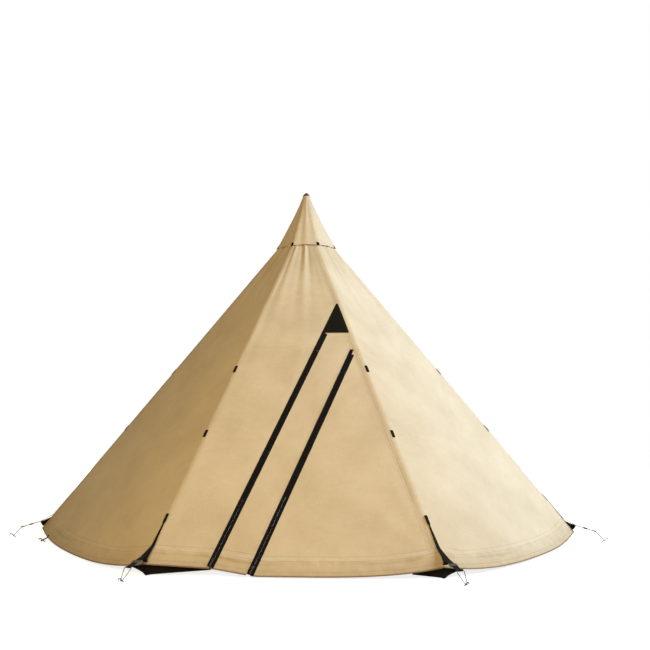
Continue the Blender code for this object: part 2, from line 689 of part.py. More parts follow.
def zip_tape(name, foot, side, low, high, extra_top=0.0):
    """Half of a zip: its tape beside the zip's line, and the coil on the tape's edge.

    extra_top is the length over its head where the tape is as wide as both halves.
    """
    length = (high - low) / math.cos(ZIP_LEAN)
    inner = side * CLEARANCE
    outer = side * ZIP_WIDTH / 2.0
    outline = [(inner, 0.0), (outer, 0.0), (outer, length), (inner, length)]
    if extra_top > 0.0:
        top = length + extra_top
        seam = length + CLEARANCE
        outline = [(inner, 0.0), (outer, 0.0), (outer, top), (-outer, top), (-outer, seam),
                   (inner, seam)]
    mesh = outline_mesh(name, [outline], ZIP_TAPE_THICKNESS)
    middle = CLEARANCE + ZIP_TAPE_THICKNESS / 2.0
    place = door_frame(zip_x(foot, low), low, middle, -ZIP_LEAN)
    piece = add_piece(name, mesh, "zip", place)
    shape = bmesh.new()
    bmesh.ops.create_cone(shape, cap_ends=True, segments=COIL_SEGMENTS, radius1=ZIP_COIL_RADIUS,
                          radius2=ZIP_COIL_RADIUS, depth=length - OVERRUN)
    bmesh.ops.rotate(shape, verts=shape.verts, cent=(0.0, 0.0, 0.0),
                     matrix=Matrix.Rotation(math.radians(90.0), 3, "X"))
    bmesh.ops.rotate(shape, verts=shape.verts, cent=(0.0, 0.0, 0.0),
                     matrix=Matrix.Rotation(math.pi / COIL_SEGMENTS, 3, "Y"))
    bmesh.ops.translate(shape, verts=shape.verts,
                        vec=(side * (CLEARANCE + ZIP_COIL_RADIUS), length / 2.0,
                             ZIP_COIL_RADIUS * COIL_SEAT_SHARE))
    coil_mesh = bpy.data.meshes.new(name + "_coil")
    shape.to_mesh(coil_mesh)
    shape.free()
    boolean(piece, add_cutter(name + "_coil", coil_mesh, place), "UNION")
    return piece


def zips():
    """Both zips, a half on each side of each line."""
    left_low = zip_low(LEFT_ZIP_FOOT)
    right_low = zip_low(RIGHT_ZIP_FOOT)
    head = DOOR_HEAD - DOOR_GAP - ZIP_WIDTH / 2.0 * math.sin(ZIP_LEAN)
    left_top = patch_base_y() - DOOR_HEAD - CLEARANCE - ZIP_WIDTH / 2.0 * math.sin(ZIP_LEAN)
    zip_tape("zip_left_panel_half", LEFT_ZIP_FOOT, -1.0, left_low, head,
             left_top / math.cos(ZIP_LEAN))
    zip_tape("zip_left_door_half", LEFT_ZIP_FOOT, 1.0, left_low, head - ZIP_COIL_RADIUS)
    tape_line_foot = RIGHT_ZIP_FOOT + ZIP_WIDTH / 2.0 / math.cos(ZIP_LEAN)
    right_head = meeting_y(tape_line_foot, DOOR_MARGIN + DOOR_GAP)
    right_head -= ZIP_WIDTH / 2.0 * math.sin(ZIP_LEAN)
    zip_tape("zip_right_strip_half", RIGHT_ZIP_FOOT, -1.0, right_low, head)
    zip_tape("zip_right_leaf_half", RIGHT_ZIP_FOOT, 1.0, right_low, right_head)


def patch_left_x(y):
    """Left edge of the patch, in line with the left edge of the left zip."""
    return zip_x(LEFT_ZIP_FOOT, y) - ZIP_WIDTH / 2.0 / math.cos(ZIP_LEAN)


def patch_top_y():
    """Point of the patch, where that line meets the line beside the seam."""
    return meeting_y(patch_left_x(0.0), PATCH_EDGE_INSET)


def patch_base_y():
    """Lower edge of the patch over the door."""
    return patch_top_y() - PATCH_HEIGHT


def door_head_patch():
    """Plain triangle of coated fabric over the top of the door."""
    base = patch_base_y()
    right = half_width(base) - PATCH_EDGE_INSET
    top = base + PATCH_HEIGHT
    corners = [Vector((patch_left_x(base), base)), Vector((right, base)),
               Vector((half_width(top) - PATCH_EDGE_INSET, top))]
    outline = []
    for index, point in enumerate(corners):
        before = (corners[index - 1] - point).normalized()
        after = (corners[(index + 1) % len(corners)] - point).normalized()
        opening = before.angle(after)
        centre = point + (before + after).normalized() * PATCH_CORNER_RADIUS / math.sin(opening / 2.0)
        start = point + before * PATCH_CORNER_RADIUS / math.tan(opening / 2.0) - centre
        for step in range(CORNER_ARC_STEPS + 1):
            turn = (math.pi - opening) * step / CORNER_ARC_STEPS
            outline.append(tuple(centre + Matrix.Rotation(turn, 2) @ start))
    mesh = outline_mesh("door_head_patch", [outline], PATCH_THICKNESS)
    middle = CLEARANCE + PATCH_THICKNESS / 2.0
    add_piece("door_head_patch", mesh, "patch", door_frame(0.0, 0.0, middle))


def zip_slider(name, foot):
    """A slider with its bail, and its pull, at the foot of a zip."""
    tape_middle = CLEARANCE + ZIP_TAPE_THICKNESS / 2.0
    coil_top = tape_middle + ZIP_COIL_RADIUS * (1.0 + COIL_SEAT_SHARE)
    low = zip_low(foot) + SLIDER_FOOT_GAP
    place = door_frame(zip_x(foot, low), low, coil_top + CLEARANCE, -ZIP_LEAN)
    half = SLIDER_LENGTH / 2.0
    wide = SLIDER_WIDTH / 2.0
    outline = [(SLIDER_TAPER - wide, -half), (wide - SLIDER_TAPER, -half), (wide, half / 2.0),
               (wide - SLIDER_EDGE, half), (SLIDER_EDGE, half - SLIDER_TAPER),
               (-SLIDER_EDGE, half - SLIDER_TAPER), (SLIDER_EDGE - wide, half), (-wide, half / 2.0)]
    mesh = outline_mesh(name, [outline], SLIDER_THICKNESS)
    mesh.transform(Matrix.Translation((0.0, 0.0, SLIDER_THICKNESS / 2.0)))
    piece = add_piece(name, mesh, "zinc", place)
    bail_top = SLIDER_THICKNESS + BAIL_HEIGHT
    leg = BAIL_WIDTH / 2.0 - BAIL_RADIUS
    arch = [(-leg, 0.0, SLIDER_THICKNESS / 2.0), (-leg, 0.0, bail_top - BAIL_RADIUS),
            (BAIL_RADIUS - leg, 0.0, bail_top), (leg - BAIL_RADIUS, 0.0, bail_top),
            (leg, 0.0, bail_top - BAIL_RADIUS), (leg, 0.0, SLIDER_THICKNESS / 2.0)]
    bail = wire_mesh(name + "_bail", arch, BAIL_RADIUS)
    boolean(piece, add_cutter(name + "_bail", bail, place), "UNION")
    pull_place = place @ Matrix.Translation((0.0, 0.0, bail_top))
    tag_low = PULL_HEAD_RADIUS - PULL_LENGTH
    tag = rounded_rectangle(PULL_WIDTH, PULL_LENGTH, PULL_WIDTH / 3.0, tag_low)
    hole_y = tag_low + PULL_TIP_HOLE_INSET
    angles = [TURN * step / PULL_HOLE_STEPS for step in range(PULL_HOLE_STEPS)]
    hole = [(PULL_TIP_HOLE_RADIUS * math.cos(angle), hole_y - PULL_TIP_HOLE_RADIUS * math.sin(angle))
            for angle in angles]
    pull_mesh = outline_mesh(name + "_pull", [tag, hole], PULL_THICKNESS)
    pull = add_piece(name + "_pull", pull_mesh, "zinc", pull_place)
    head_ends = [(-PULL_WIDTH / 2.0, 0.0, 0.0), (PULL_WIDTH / 2.0, 0.0, 0.0)]
    head = wire_mesh(name + "_pull_head", head_ends, PULL_HEAD_RADIUS)
    boolean(pull, add_cutter(name + "_pull_head", head, pull_place), "UNION")
    bore_ends = [(-PULL_WIDTH, 0.0, 0.0), (PULL_WIDTH, 0.0, 0.0)]
    bore = wire_mesh(name + "_pull_bore", bore_ends, PULL_EYE_RADIUS)
    boolean(pull, add_cutter(name + "_pull_bore", bore, pull_place), "DIFFERENCE")


# The skirt and the corners
def ground_skirt():
    """Skirt behind the hem, from the left zip round the tent to just past the right corner."""
    return_share = 1.0 - SKIRT_DOOR_RETURN / HALF_CHORD
    left_share = zip_edge(LEFT_ZIP_FOOT, -1.0, hem_y(LEFT_ZIP_FOOT)) / HALF_CHORD
    stations = [(0, return_share, 1.0), (0, (return_share + 1.0) / 2.0, 1.0)]
    for side in range(1, SIDE_COUNT):
        stations += [(side, -1.0, 1.0 if side == 1 else 0.0)]
        stations += [(side, share, 0.0) for share in SIDE_SHARES]
    stations += [(SIDE_COUNT, share, 1.0) for share in (-1.0, (left_share - 1.0) / 2.0, left_share)]
    top_drop = -(CANVAS_THICKNESS + SKIRT_GAP)
    foot = SKIRT_THICKNESS * NORMAL_RISE + CLEARANCE
    row_shares = (0.0, 0.5, 1.0)

    def place(column, row):
        side, share, hanging = stations[column]
        tucked_foot = hem_height(share) + SKIRT_TUCK
        low = tucked_foot + (foot - tucked_foot) * hanging
        drop = top_drop - SKIRT_FOOT_INSET * hanging * (1.0 - row_shares[row])
        height = low + (SKIRT_HEIGHT - low) * row_shares[row] - drop / NORMAL_RISE
        return side_point(side, share, rise_at(side, share, height), drop)

    mesh = sheet_mesh("ground_skirt", len(stations), len(row_shares), place)
    piece = add_piece("ground_skirt", mesh, "webbing")
    solidify(piece, SKIRT_THICKNESS)


def seam_plane_point(distance, lift):
    """(out, up) in a seam's upright plane, up the seam from the corner and off the ridge."""
    return Vector((CORNER_RADIUS - distance * math.cos(SEAM_SLOPE) + lift * math.sin(SEAM_SLOPE),
                   CORNER_HEIGHT + distance * math.sin(SEAM_SLOPE) + lift * math.cos(SEAM_SLOPE)))


def offset_line(points, distance):
    """Points of a line moved to its left, mitred at its bends."""
    moved = []
    for index, point in enumerate(points):
        runs = []
        if index > 0:
            runs.append((point - points[index - 1]).normalized())
        if index < len(points) - 1:
            runs.append((points[index + 1] - point).normalized())
        normals = [Vector((-run.y, run.x)) for run in runs]
        mean = sum(normals, Vector((0.0, 0.0))).normalized()
        moved.append(point + mean * distance / mean.dot(normals[0]))
    return moved


RIDGE_LIFT = LAP_LIFT / NORMAL_RISE * math.cos(SEAM_SLOPE)
STRAP_SEAT = RIDGE_LIFT + CLEARANCE + STRAP_THICKNESS / 2.0
STRAP_KNEE = Vector((CORNER_RADIUS + STRAP_KNEE_OUT, CORNER_HEIGHT + STRAP_KNEE_UP))
STRAP_END = Vector((CORNER_RADIUS + STRAP_END_OUT, CORNER_HEIGHT + STRAP_END_UP))
STRAP_RUN = (STRAP_END - STRAP_KNEE).normalized()
EYE_RADIUS = LINK_WIRE_RADIUS + CLEARANCE


def strap_mesh():
    """A corner strap, drawn from the side: seam end, knee, run to the eye, and a short leg."""
    half = STRAP_THICKNESS / 2.0
    path = [seam_plane_point(STRAP_TAB_TOP, STRAP_SEAT),
            seam_plane_point(STRAP_TAB_TOP - STRAP_TAB_LENGTH, STRAP_SEAT), STRAP_KNEE,
            STRAP_END - STRAP_RUN * EYE_RADIUS]
    upper = offset_line(path, half)
    lower = offset_line(path, -half)
    leg_foot = seam_plane_point(STRAP_LEG_SEAT, STRAP_SEAT)
    leg_run = (leg_foot - STRAP_KNEE).normalized()
    leg_side = Vector((-leg_run.y, leg_run.x)) * half
    eye_wall = EYE_RADIUS + STRAP_THICKNESS
    start = math.atan2(STRAP_RUN.y, STRAP_RUN.x)
    spread = math.pi - math.asin(half / eye_wall)
    around = []
    for step in range(EYE_ARC_STEPS + 1):
        angle = start + spread - 2.0 * spread * step / EYE_ARC_STEPS
        around.append(STRAP_END + Vector((math.cos(angle), math.sin(angle))) * eye_wall)
    knee_low = lower[2]
    outline = upper[:3] + around
    outline += [knee_low + STRAP_RUN * STRAP_THICKNESS, leg_foot + leg_side, leg_foot - leg_side,
                knee_low - (path[2] - path[1]).normalized() * STRAP_THICKNESS, lower[1], lower[0]]
    hole = []
    for step in range(EYE_ARC_STEPS):
        angle = TURN * step / EYE_ARC_STEPS
        hole.append(STRAP_END + Vector((math.cos(angle), math.sin(angle))) * EYE_RADIUS)
    loops = [[tuple(point) for point in loop] for loop in (outline, hole)]
    mesh = outline_mesh("corner_strap", loops, STRAP_WIDTH)
    mesh.transform(Matrix.Rotation(math.radians(90.0), 4, "X"))
    tab_end = path[1].x
    for point in mesh.vertices:
        if point.co.x <= STRAP_KNEE.x:
            share = max(0.0, (point.co.x - tab_end) / (STRAP_KNEE.x - tab_end))
            width = STRAP_TOP_WIDTH + (STRAP_WIDTH - STRAP_TOP_WIDTH) * share
        else:
            share = min(1.0, (point.co.x - STRAP_KNEE.x) / (STRAP_END.x - STRAP_KNEE.x))
            width = STRAP_WIDTH + (STRAP_END_WIDTH - STRAP_WIDTH) * share
        point.co.y *= width / STRAP_WIDTH
    return mesh


def strap_width_at(share):
    """Width of the strap between its knee and its end."""
    return STRAP_WIDTH + (STRAP_END_WIDTH - STRAP_WIDTH) * share


def buckle_mesh():
    """Ladder buckle that the strap runs through, with two slots in its face."""
    centre = STRAP_KNEE.lerp(STRAP_END, BUCKLE_PLACE_SHARE)
    angle = math.atan2(STRAP_RUN.y, STRAP_RUN.x)
    place = Matrix.Translation((centre.x, 0.0, centre.y)) @ Matrix.Rotation(-angle, 4, "Y")
    reach = BUCKLE_LENGTH / 2.0 / (STRAP_END - STRAP_KNEE).length
    inside = strap_width_at(BUCKLE_PLACE_SHARE - reach) + 2.0 * CLEARANCE
    way_height = STRAP_THICKNESS + 2.0 * CLEARANCE
    height = way_height + 2.0 * BUCKLE_COVER
    frame = box_mesh("corner_buckle", (BUCKLE_LENGTH, inside + 2.0 * BUCKLE_SIDE, height))
    body = add_cutter("corner_buckle_body", frame, place)
    bevel(body, BUCKLE_EDGE)
    way = box_mesh("buckle_way", (BUCKLE_LENGTH + 2.0 * OVERRUN, inside, way_height))
    boolean(body, add_cutter("buckle_way", way, place), "DIFFERENCE")
    for side in (-1.0, 1.0):
        slot = box_mesh("buckle_slot", (BUCKLE_SLOT, inside - BUCKLE_SIDE, height),
                        (side * BUCKLE_SLOT, 0.0, height / 2.0))
        boolean(body, add_cutter("buckle_slot", slot, place), "DIFFERENCE")
    mesh = evaluated_mesh(body, "corner_buckle")
    mesh.transform(place)
    return mesh


PEG_AXIS = Vector((math.sin(PEG_LEAN), math.cos(PEG_LEAN)))
PEG_HELD = Vector((CORNER_RADIUS + PEG_REACH, PEG_HOLD * math.cos(PEG_LEAN)))
PEG_GROUND = PEG_HELD - PEG_AXIS * PEG_HOLD


def peg_mesh(name, ground):
    """Exposed end of a steel rod peg that leans out, its hook turned down away from the tent."""
    points = [ground - PEG_AXIS * PEG_SUNK, ground]
    bend = ground + PEG_AXIS * (PEG_EXPOSED - PEG_HOOK_RADIUS)
    across = Vector((PEG_AXIS.y, -PEG_AXIS.x))
    centre = bend + across * PEG_HOOK_RADIUS
    for step in range(PEG_HOOK_STEPS + 1):
        angle = PEG_HOOK_TURN * step / PEG_HOOK_STEPS
        turned = PEG_AXIS * math.sin(angle) - across * math.cos(angle)
        points.append(centre + turned * PEG_HOOK_RADIUS)
    mesh = wire_mesh(name, [(p.x, 0.0, p.y) for p in points], PEG_RADIUS)
    cut_at_ground(mesh)
    smooth_round(mesh)
    return mesh


def link_mesh():
    """Triangular wire link through the strap's eye and round the peg."""
    reach = PEG_RADIUS + CLEARANCE + LINK_WIRE_RADIUS
    start = STRAP_END
    run = (PEG_HELD - start).normalized()
    end = PEG_HELD + run * (reach / abs(run.cross(PEG_AXIS)))
    length = (end - start).length
    half = STRAP_END_WIDTH / 2.0 + LINK_SIDE_GAP + LINK_WIRE_RADIUS
    tip = reach
    radius = LINK_CORNER_RADIUS
    flat = []
    for step in range(LINK_ARC_STEPS + 1):
        angle = math.radians(90.0) * step / LINK_ARC_STEPS
        flat.append((radius * (1.0 - math.cos(angle)), radius - half - radius * math.sin(angle)))
    for step in range(LINK_TIP_STEPS + 1):
        angle = math.pi * step / LINK_TIP_STEPS - math.pi / 2.0
        flat.append((length - tip + tip * math.cos(angle), tip * math.sin(angle)))
    mirrored = [(x, -y) for x, y in reversed(flat[:LINK_ARC_STEPS + 1])]
    flat += mirrored
    points = []
    for along, side in flat:
        place = start + run * along
        points.append((place.x, side, place.y))
    mesh = wire_mesh("corner_link", points, LINK_WIRE_RADIUS, cyclic=True)
    smooth_round(mesh)
    return mesh


def corner_sets():
    """Strap, buckle, link and peg at each corner."""
    meshes = {"corner_strap": (strap_mesh(), "webbing"),
              "corner_buckle": (buckle_mesh(), "moulding"),
              "corner_link": (link_mesh(), "steel"),
              "corner_peg": (peg_mesh("corner_peg", PEG_GROUND), "steel")}
    for seam in range(SIDE_COUNT):
        turn = Matrix.Rotation((seam + 0.5) * SIDE_ANGLE - math.radians(90.0), 4, "Z")
        for name, (mesh, finish) in meshes.items():
            add_piece("{}_{}".format(name, seam), mesh.copy(), finish, turn)


def hem_pegs():
    """A peg through each loop on the hem."""
    for side in HEM_LOOP_SIDES:
        across = loop_across(side)
        frame = side_frame(side, across, rise_at(side, across, hem_height(across)))
        eye_middle = hem_loop_eye_low() + HEM_LOOP_EYE_LENGTH / 2.0
        from_fold = Vector((0.0, eye_middle + HEM_LOOP_THICKNESS, 0.0))
        folded = Matrix.Rotation(-HEM_LOOP_FLAP, 3, "X") @ from_fold
        eye = frame @ (folded + Vector((0.0, -HEM_LOOP_THICKNESS, -CANVAS_THICKNESS / 2.0)))
        out = side_normal(side)
        out.z = 0.0
        out.normalize()
        turn = Matrix.Rotation(math.atan2(out.y, out.x), 4, "Z")
        name = "hem_peg_{}".format(side)
        mesh = peg_mesh(name, Vector((-eye.z * math.tan(PEG_LEAN), 0.0)))
        place = Matrix.Translation((eye.x, eye.y, 0.0)) @ turn
        add_piece(name, mesh, "steel", place)


# The vent cap, the crown and the pole
def cap_radius(share):
    """Corner radius of the cap from its top (0) to its rim (1)."""
    return CAP_TOP_RADIUS + (CAP_RIM_RADIUS - CAP_TOP_RADIUS) * share ** CAP_FLARE_POWER


def cap_height(share):
    """Height of the cap at a share of the way down."""
    return CAP_TOP_HEIGHT + (CAP_RIM_HEIGHT - CAP_TOP_HEIGHT) * share


def vent_cap():
    """Seven-gored cap over the smoke vent, with soft folds that deepen to its rim."""
    columns = SIDE_COUNT * CAP_COLUMNS_PER_SIDE

    def place(column, row):
        share = 1.0 - CAP_HEIGHT_SHARES[row]
        angle = TURN * (column % columns) / columns
        from_middle = (angle + SIDE_ANGLE / 2.0) % SIDE_ANGLE - SIDE_ANGLE / 2.0
        flat = math.cos(SIDE_ANGLE / 2.0) / math.cos(from_middle)
        facet = CAP_FACET_SHARE * share
        fold = CAP_FOLD_DEPTH * share * math.cos(CAP_FOLDS_PER_SIDE * SIDE_COUNT * angle)
        radius = cap_radius(share) * (1.0 - facet + facet * flat) + fold
        point = outward(angle) * radius
        point.z = cap_height(share)
        return point

    mesh = sheet_mesh("vent_cap", columns + 1, len(CAP_HEIGHT_SHARES), place, closed=True)
    piece = add_piece("vent_cap", mesh, "canvas")
    solidify(piece, CAP_THICKNESS)


def cap_inner_radius(share):
    """Least radius inside the cap."""
    run = (CAP_RIM_RADIUS - CAP_TOP_RADIUS) / (CAP_TOP_HEIGHT - CAP_RIM_HEIGHT)
    wall = CAP_THICKNESS * math.hypot(1.0, run)
    narrowing = CAP_FACET_SHARE * share * (1.0 - math.cos(SIDE_ANGLE / 2.0))
    return cap_radius(share) * (1.0 - narrowing) - CAP_FOLD_DEPTH * share - wall


def cap_mast():
    """Spindle that carries the cap and slides in the pole head, with its collar and button."""
    seat = CLEARANCE * 2.0
    collar_low = POLE_HEAD_HEIGHT + CLEARANCE
    collar_top = collar_low + MAST_COLLAR_LENGTH
    cone_low = cap_height(MAST_CONE_SHARE)
    cone_middle = MAST_CONE_SHARE / 2.0
    neck_low = CAP_TOP_HEIGHT - seat
    neck_high = CAP_TOP_HEIGHT + seat
    profile = [(0.0, TIP_HEIGHT), (BUTTON_RADIUS / 3.0, TIP_HEIGHT - BUTTON_EDGE / 3.0),
               (BUTTON_RADIUS * 2.0 / 3.0, (TIP_HEIGHT * 2.0 + neck_high) / 3.0 - BUTTON_EDGE / 2.0),
               (BUTTON_RADIUS, neck_high + BUTTON_EDGE), (BUTTON_RADIUS, neck_high),
               (MAST_NECK_RADIUS, neck_high), (MAST_NECK_RADIUS, neck_low),
               (cap_inner_radius(0.0) - seat, neck_low),
               (cap_inner_radius(cone_middle) - seat, cap_height(cone_middle)),
               (cap_inner_radius(MAST_CONE_SHARE) - seat, cone_low),
               (MAST_RADIUS, cone_low - MAST_CONE_UNDERCUT),
               (MAST_RADIUS, collar_top), (MAST_COLLAR_RADIUS, collar_top),
               (MAST_COLLAR_RADIUS, collar_low), (MAST_RADIUS, collar_low),
               (MAST_RADIUS, MAST_FOOT_HEIGHT + MAST_RADIUS / 3.0),
               (MAST_RADIUS * 2.0 / 3.0, MAST_FOOT_HEIGHT), (0.0, MAST_FOOT_HEIGHT)]
    turned_piece("cap_mast", profile, "anodised", False)


def crown_webbing():
    """Webbing ring inside the top of the canvas, hung by straps from a hub on the pole head."""
    drop = -(CANVAS_THICKNESS + CLEARANCE)
    ring_shares = (-1.0, *SIDE_SHARES)
    columns = SIDE_COUNT * len(ring_shares)
    ring_rises = ((CROWN_HEIGHT - CROWN_RING_DEPTH - CORNER_HEIGHT) / SEAM_RISE, CROWN_SHARE)

    def place(column, row):
        side, step = divmod(column % columns, len(ring_shares))
        return side_point(side, ring_shares[step], ring_rises[row], drop)

    mesh = sheet_mesh("crown_webbing", columns + 1, len(ring_rises), place, closed=True)
    piece = add_piece("crown_webbing", mesh, "webbing")
    solidify(piece, CROWN_WEB_THICKNESS)
    hub_top = POLE_HEAD_HEIGHT - CROWN_HUB_DROP
    hub_low = hub_top - CROWN_HUB_THICKNESS
    hub_bore = POLE_HEAD_RADIUS + CLEARANCE
    hub = add_cutter("crown_hub", ring_mesh("crown_hub", hub_bore, CROWN_HUB_RADIUS, hub_low, hub_top))
    strap_lift = (drop - CROWN_WEB_THICKNESS) / NORMAL_RISE * math.cos(SEAM_SLOPE)
    inset = Vector((CROWN_STRAP_WIDTH / 2.0 * math.tan(SIDE_ANGLE / 2.0), 0.0))
    seam_length = math.hypot(CORNER_RADIUS, SEAM_RISE)
    foot = seam_plane_point(sum(ring_rises) / 2.0 * seam_length, strap_lift) - inset
    shoulder = seam_plane_point(CROWN_SHARE * seam_length + CROWN_STRAP_WIDTH / 2.0, strap_lift) - inset
    head = Vector(((hub_bore + CROWN_HUB_RADIUS) / 2.0, (hub_top + hub_low) / 2.0))
    bend = Vector((CROWN_HUB_RADIUS + CROWN_HUB_THICKNESS, hub_low))
    path = [head, bend, shoulder, foot]
    upper = offset_line(path, CROWN_WEB_THICKNESS / 2.0)
    lower = offset_line(path, -CROWN_WEB_THICKNESS / 2.0)
    outline = [tuple(p) for p in upper + lower[::-1]]
    strap = outline_mesh("crown_strap", [outline], CROWN_STRAP_WIDTH)
    strap.transform(Matrix.Rotation(math.radians(90.0), 4, "X"))
    for seam in range(SIDE_COUNT):
        turn = Matrix.Rotation((seam + 0.5) * SIDE_ANGLE - math.radians(90.0), 4, "Z")
        boolean(piece, add_cutter("crown_strap_{}".format(seam), strap, turn), "UNION")
    boolean(piece, hub, "UNION")


def ring_mesh(name, inner, outer, low, high):
    """A flat ring."""
    shape = bmesh.new()
    steps = ROUND_STEPS
    profile = [(outer, high), (outer, low), (inner, low), (inner, high)]
    mesh = bpy.data.meshes.new(name)
    loops = []
    for step in range(steps):
        angle = TURN * step / steps
        loops.append([shape.verts.new((radius * math.cos(angle), radius * math.sin(angle), height))
                      for radius, height in profile])
    for step in range(steps):
        here = loops[step]
        after = loops[(step + 1) % steps]
        for index in range(4):
            following = (index + 1) % 4
            shape.faces.new((here[index], here[following], after[following], after[index]))
    bmesh.ops.recalc_face_normals(shape, faces=shape.faces)
    shape.to_mesh(mesh)
    shape.free()
    return mesh


def pole():
    """Rubber foot, lower and upper tube, and the head that the crown hangs on."""
    upper_radius = POLE_LOWER_RADIUS - POLE_WALL - POLE_FIT
    upper_bore = upper_radius - POLE_WALL
    tube_low = FOOT_FLOOR + CLEARANCE
    socket = POLE_LOWER_RADIUS + CLEARANCE
    turned_piece("pole_foot",
                 [(0.0, FOOT_FLOOR), (socket, FOOT_FLOOR), (socket, FOOT_HEIGHT),
                  (FOOT_NECK_RADIUS, FOOT_HEIGHT), (FOOT_NECK_RADIUS, FOOT_FLOOR + FOOT_EDGE),
                  (FOOT_RADIUS, FOOT_EDGE), (FOOT_RADIUS - FOOT_EDGE, 0.0), (0.0, 0.0)], "rubber", False)
    collar_low = POLE_JOINT_HEIGHT - POLE_COLLAR_LENGTH
    lower_bore = POLE_LOWER_RADIUS - POLE_WALL
    turned_piece("pole_lower_tube",
                 [(lower_bore, POLE_JOINT_HEIGHT), (POLE_COLLAR_RADIUS, POLE_JOINT_HEIGHT),
                  (POLE_COLLAR_RADIUS, collar_low), (POLE_LOWER_RADIUS, collar_low - POLE_WALL),
                  (POLE_LOWER_RADIUS, tube_low), (lower_bore, tube_low)], "aluminium", True)
    upper_low = POLE_JOINT_HEIGHT - POLE_OVERLAP
    hub_low = POLE_HEAD_HEIGHT - CROWN_HUB_DROP - CROWN_HUB_THICKNESS
    flange_low = hub_low - CLEARANCE - POLE_HEAD_FLANGE_THICKNESS
    tube_top = flange_low - CLEARANCE
    turned_piece("pole_upper_tube",
                 [(upper_bore, tube_top), (upper_radius, tube_top),
                  (upper_radius, upper_low), (upper_bore, upper_low)], "aluminium", True)
    bore = MAST_RADIUS + CLEARANCE
    spigot = upper_bore - CLEARANCE
    flange_high = flange_low + POLE_HEAD_FLANGE_THICKNESS
    head_low = flange_low - POLE_HEAD_LENGTH
    turned_piece("pole_head",
                 [(bore, POLE_HEAD_HEIGHT), (POLE_HEAD_RADIUS, POLE_HEAD_HEIGHT),
                  (POLE_HEAD_RADIUS, flange_high), (POLE_HEAD_FLANGE_RADIUS, flange_high),
                  (POLE_HEAD_FLANGE_RADIUS, flange_low), (spigot, flange_low),
                  (spigot, head_low), (bore, head_low)], "moulding", True)


clear_scene()
PARTS = new_collection("hot_tent")
HELPERS = new_collection("cutters")

door_side_canvas()
for canvas_side in range(1, SIDE_COUNT):
    side_panel(canvas_side)
zips()
door_head_patch()
zip_slider("zip_slider_left", LEFT_ZIP_FOOT)
zip_slider("zip_slider_right", RIGHT_ZIP_FOOT)
ground_skirt()
corner_sets()
hem_pegs()
vent_cap()
cap_mast()
crown_webbing()
pole()
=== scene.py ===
"""Looks of the canvas tipi tent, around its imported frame.

Laid out as an add-on and run as a script. Metres, +Z up. The door side faces -Y. Sides count
from the door side towards +X, and seam k lies between side k and side k + 1.
"""
import math

import bmesh
import bpy
from bpy.props import (BoolProperty, FloatProperty, FloatVectorProperty, IntProperty,
                       PointerProperty, StringProperty)
from mathutils import Matrix, Vector, noise


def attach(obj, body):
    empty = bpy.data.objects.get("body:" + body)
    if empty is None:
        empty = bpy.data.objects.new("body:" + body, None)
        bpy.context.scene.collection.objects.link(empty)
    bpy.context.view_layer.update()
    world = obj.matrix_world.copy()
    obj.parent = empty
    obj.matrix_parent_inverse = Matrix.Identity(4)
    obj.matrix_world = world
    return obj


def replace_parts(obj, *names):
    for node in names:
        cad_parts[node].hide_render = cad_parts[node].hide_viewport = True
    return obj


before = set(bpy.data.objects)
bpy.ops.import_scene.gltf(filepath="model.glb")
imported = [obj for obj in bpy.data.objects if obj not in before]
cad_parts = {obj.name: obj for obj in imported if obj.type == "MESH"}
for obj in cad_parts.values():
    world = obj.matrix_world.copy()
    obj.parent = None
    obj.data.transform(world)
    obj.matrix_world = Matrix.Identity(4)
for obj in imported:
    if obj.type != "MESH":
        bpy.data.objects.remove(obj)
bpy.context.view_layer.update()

bl_info = {
    "name": "Canvas Tipi Tent",
    "version": (1, 0, 0),
    "blender": (4, 5, 0),
    "location": "3D View > Sidebar > Tent",
    "description": "Dresses the packed tent frame with canvas, webbing, zips and hardware",
    "category": "Object",
}

# Shape of the canvas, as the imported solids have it
SIDE_COUNT = 7
CORNER_RADIUS = 2.430
CORNER_HEIGHT = 0.080
HEM_MIDDLE_HEIGHT = 0.012
SEAM_MEETING_HEIGHT = 2.990
CROWN_HEIGHT = 2.735
PANEL_BULGE = 0.064
BULGE_LEAN_SHARE = 0.6
HEM_CURVE_POWER = 3.0
DOOR_HEM_HEIGHT = 0.058
DOOR_MARGIN = 0.050
LEFT_ZIP_FOOT = -0.583
RIGHT_ZIP_FOOT = -0.278
ZIP_LEAN = math.radians(19.8)
ZIP_CANVAS_GAP = 0.008
ZIP_WIDTH = 0.052
DOOR_GAP = 0.0006
EDGE_GAP = 0.0012
LAP_LIFT = 0.0018
SEAM_LAP = 0.022
SEAM_JOGGLE = 0.012
RIDGE_RADIUS = 0.040
RIDGE_REACH = 0.016
PATCH_HEIGHT = 0.360
PATCH_INSET = 0.030
ZIP_FOOT_GAP = 0.012
LAY_GAP = 0.0003
CAP_TOP_HEIGHT, CAP_RIM_HEIGHT = 3.168, 2.665
CAP_TOP_RADIUS, CAP_RIM_RADIUS = 0.034, 0.281
CAP_SLANT = 0.564
CROWN_RING = 0.045
# Up a seam from its corner: top and sewn end of the strap, where it leaves, and the two tabs
STRAP_TOP, STRAP_SEWN, STRAP_LEAVES = 0.425, 0.355, 0.150
TAB_PLACES = (1.170, 1.840)
STRAP_CORE = 0.0024
LOOPED_SIDES, LOOP_PLACE = (2, 3, 4, 5, 6), 0.70

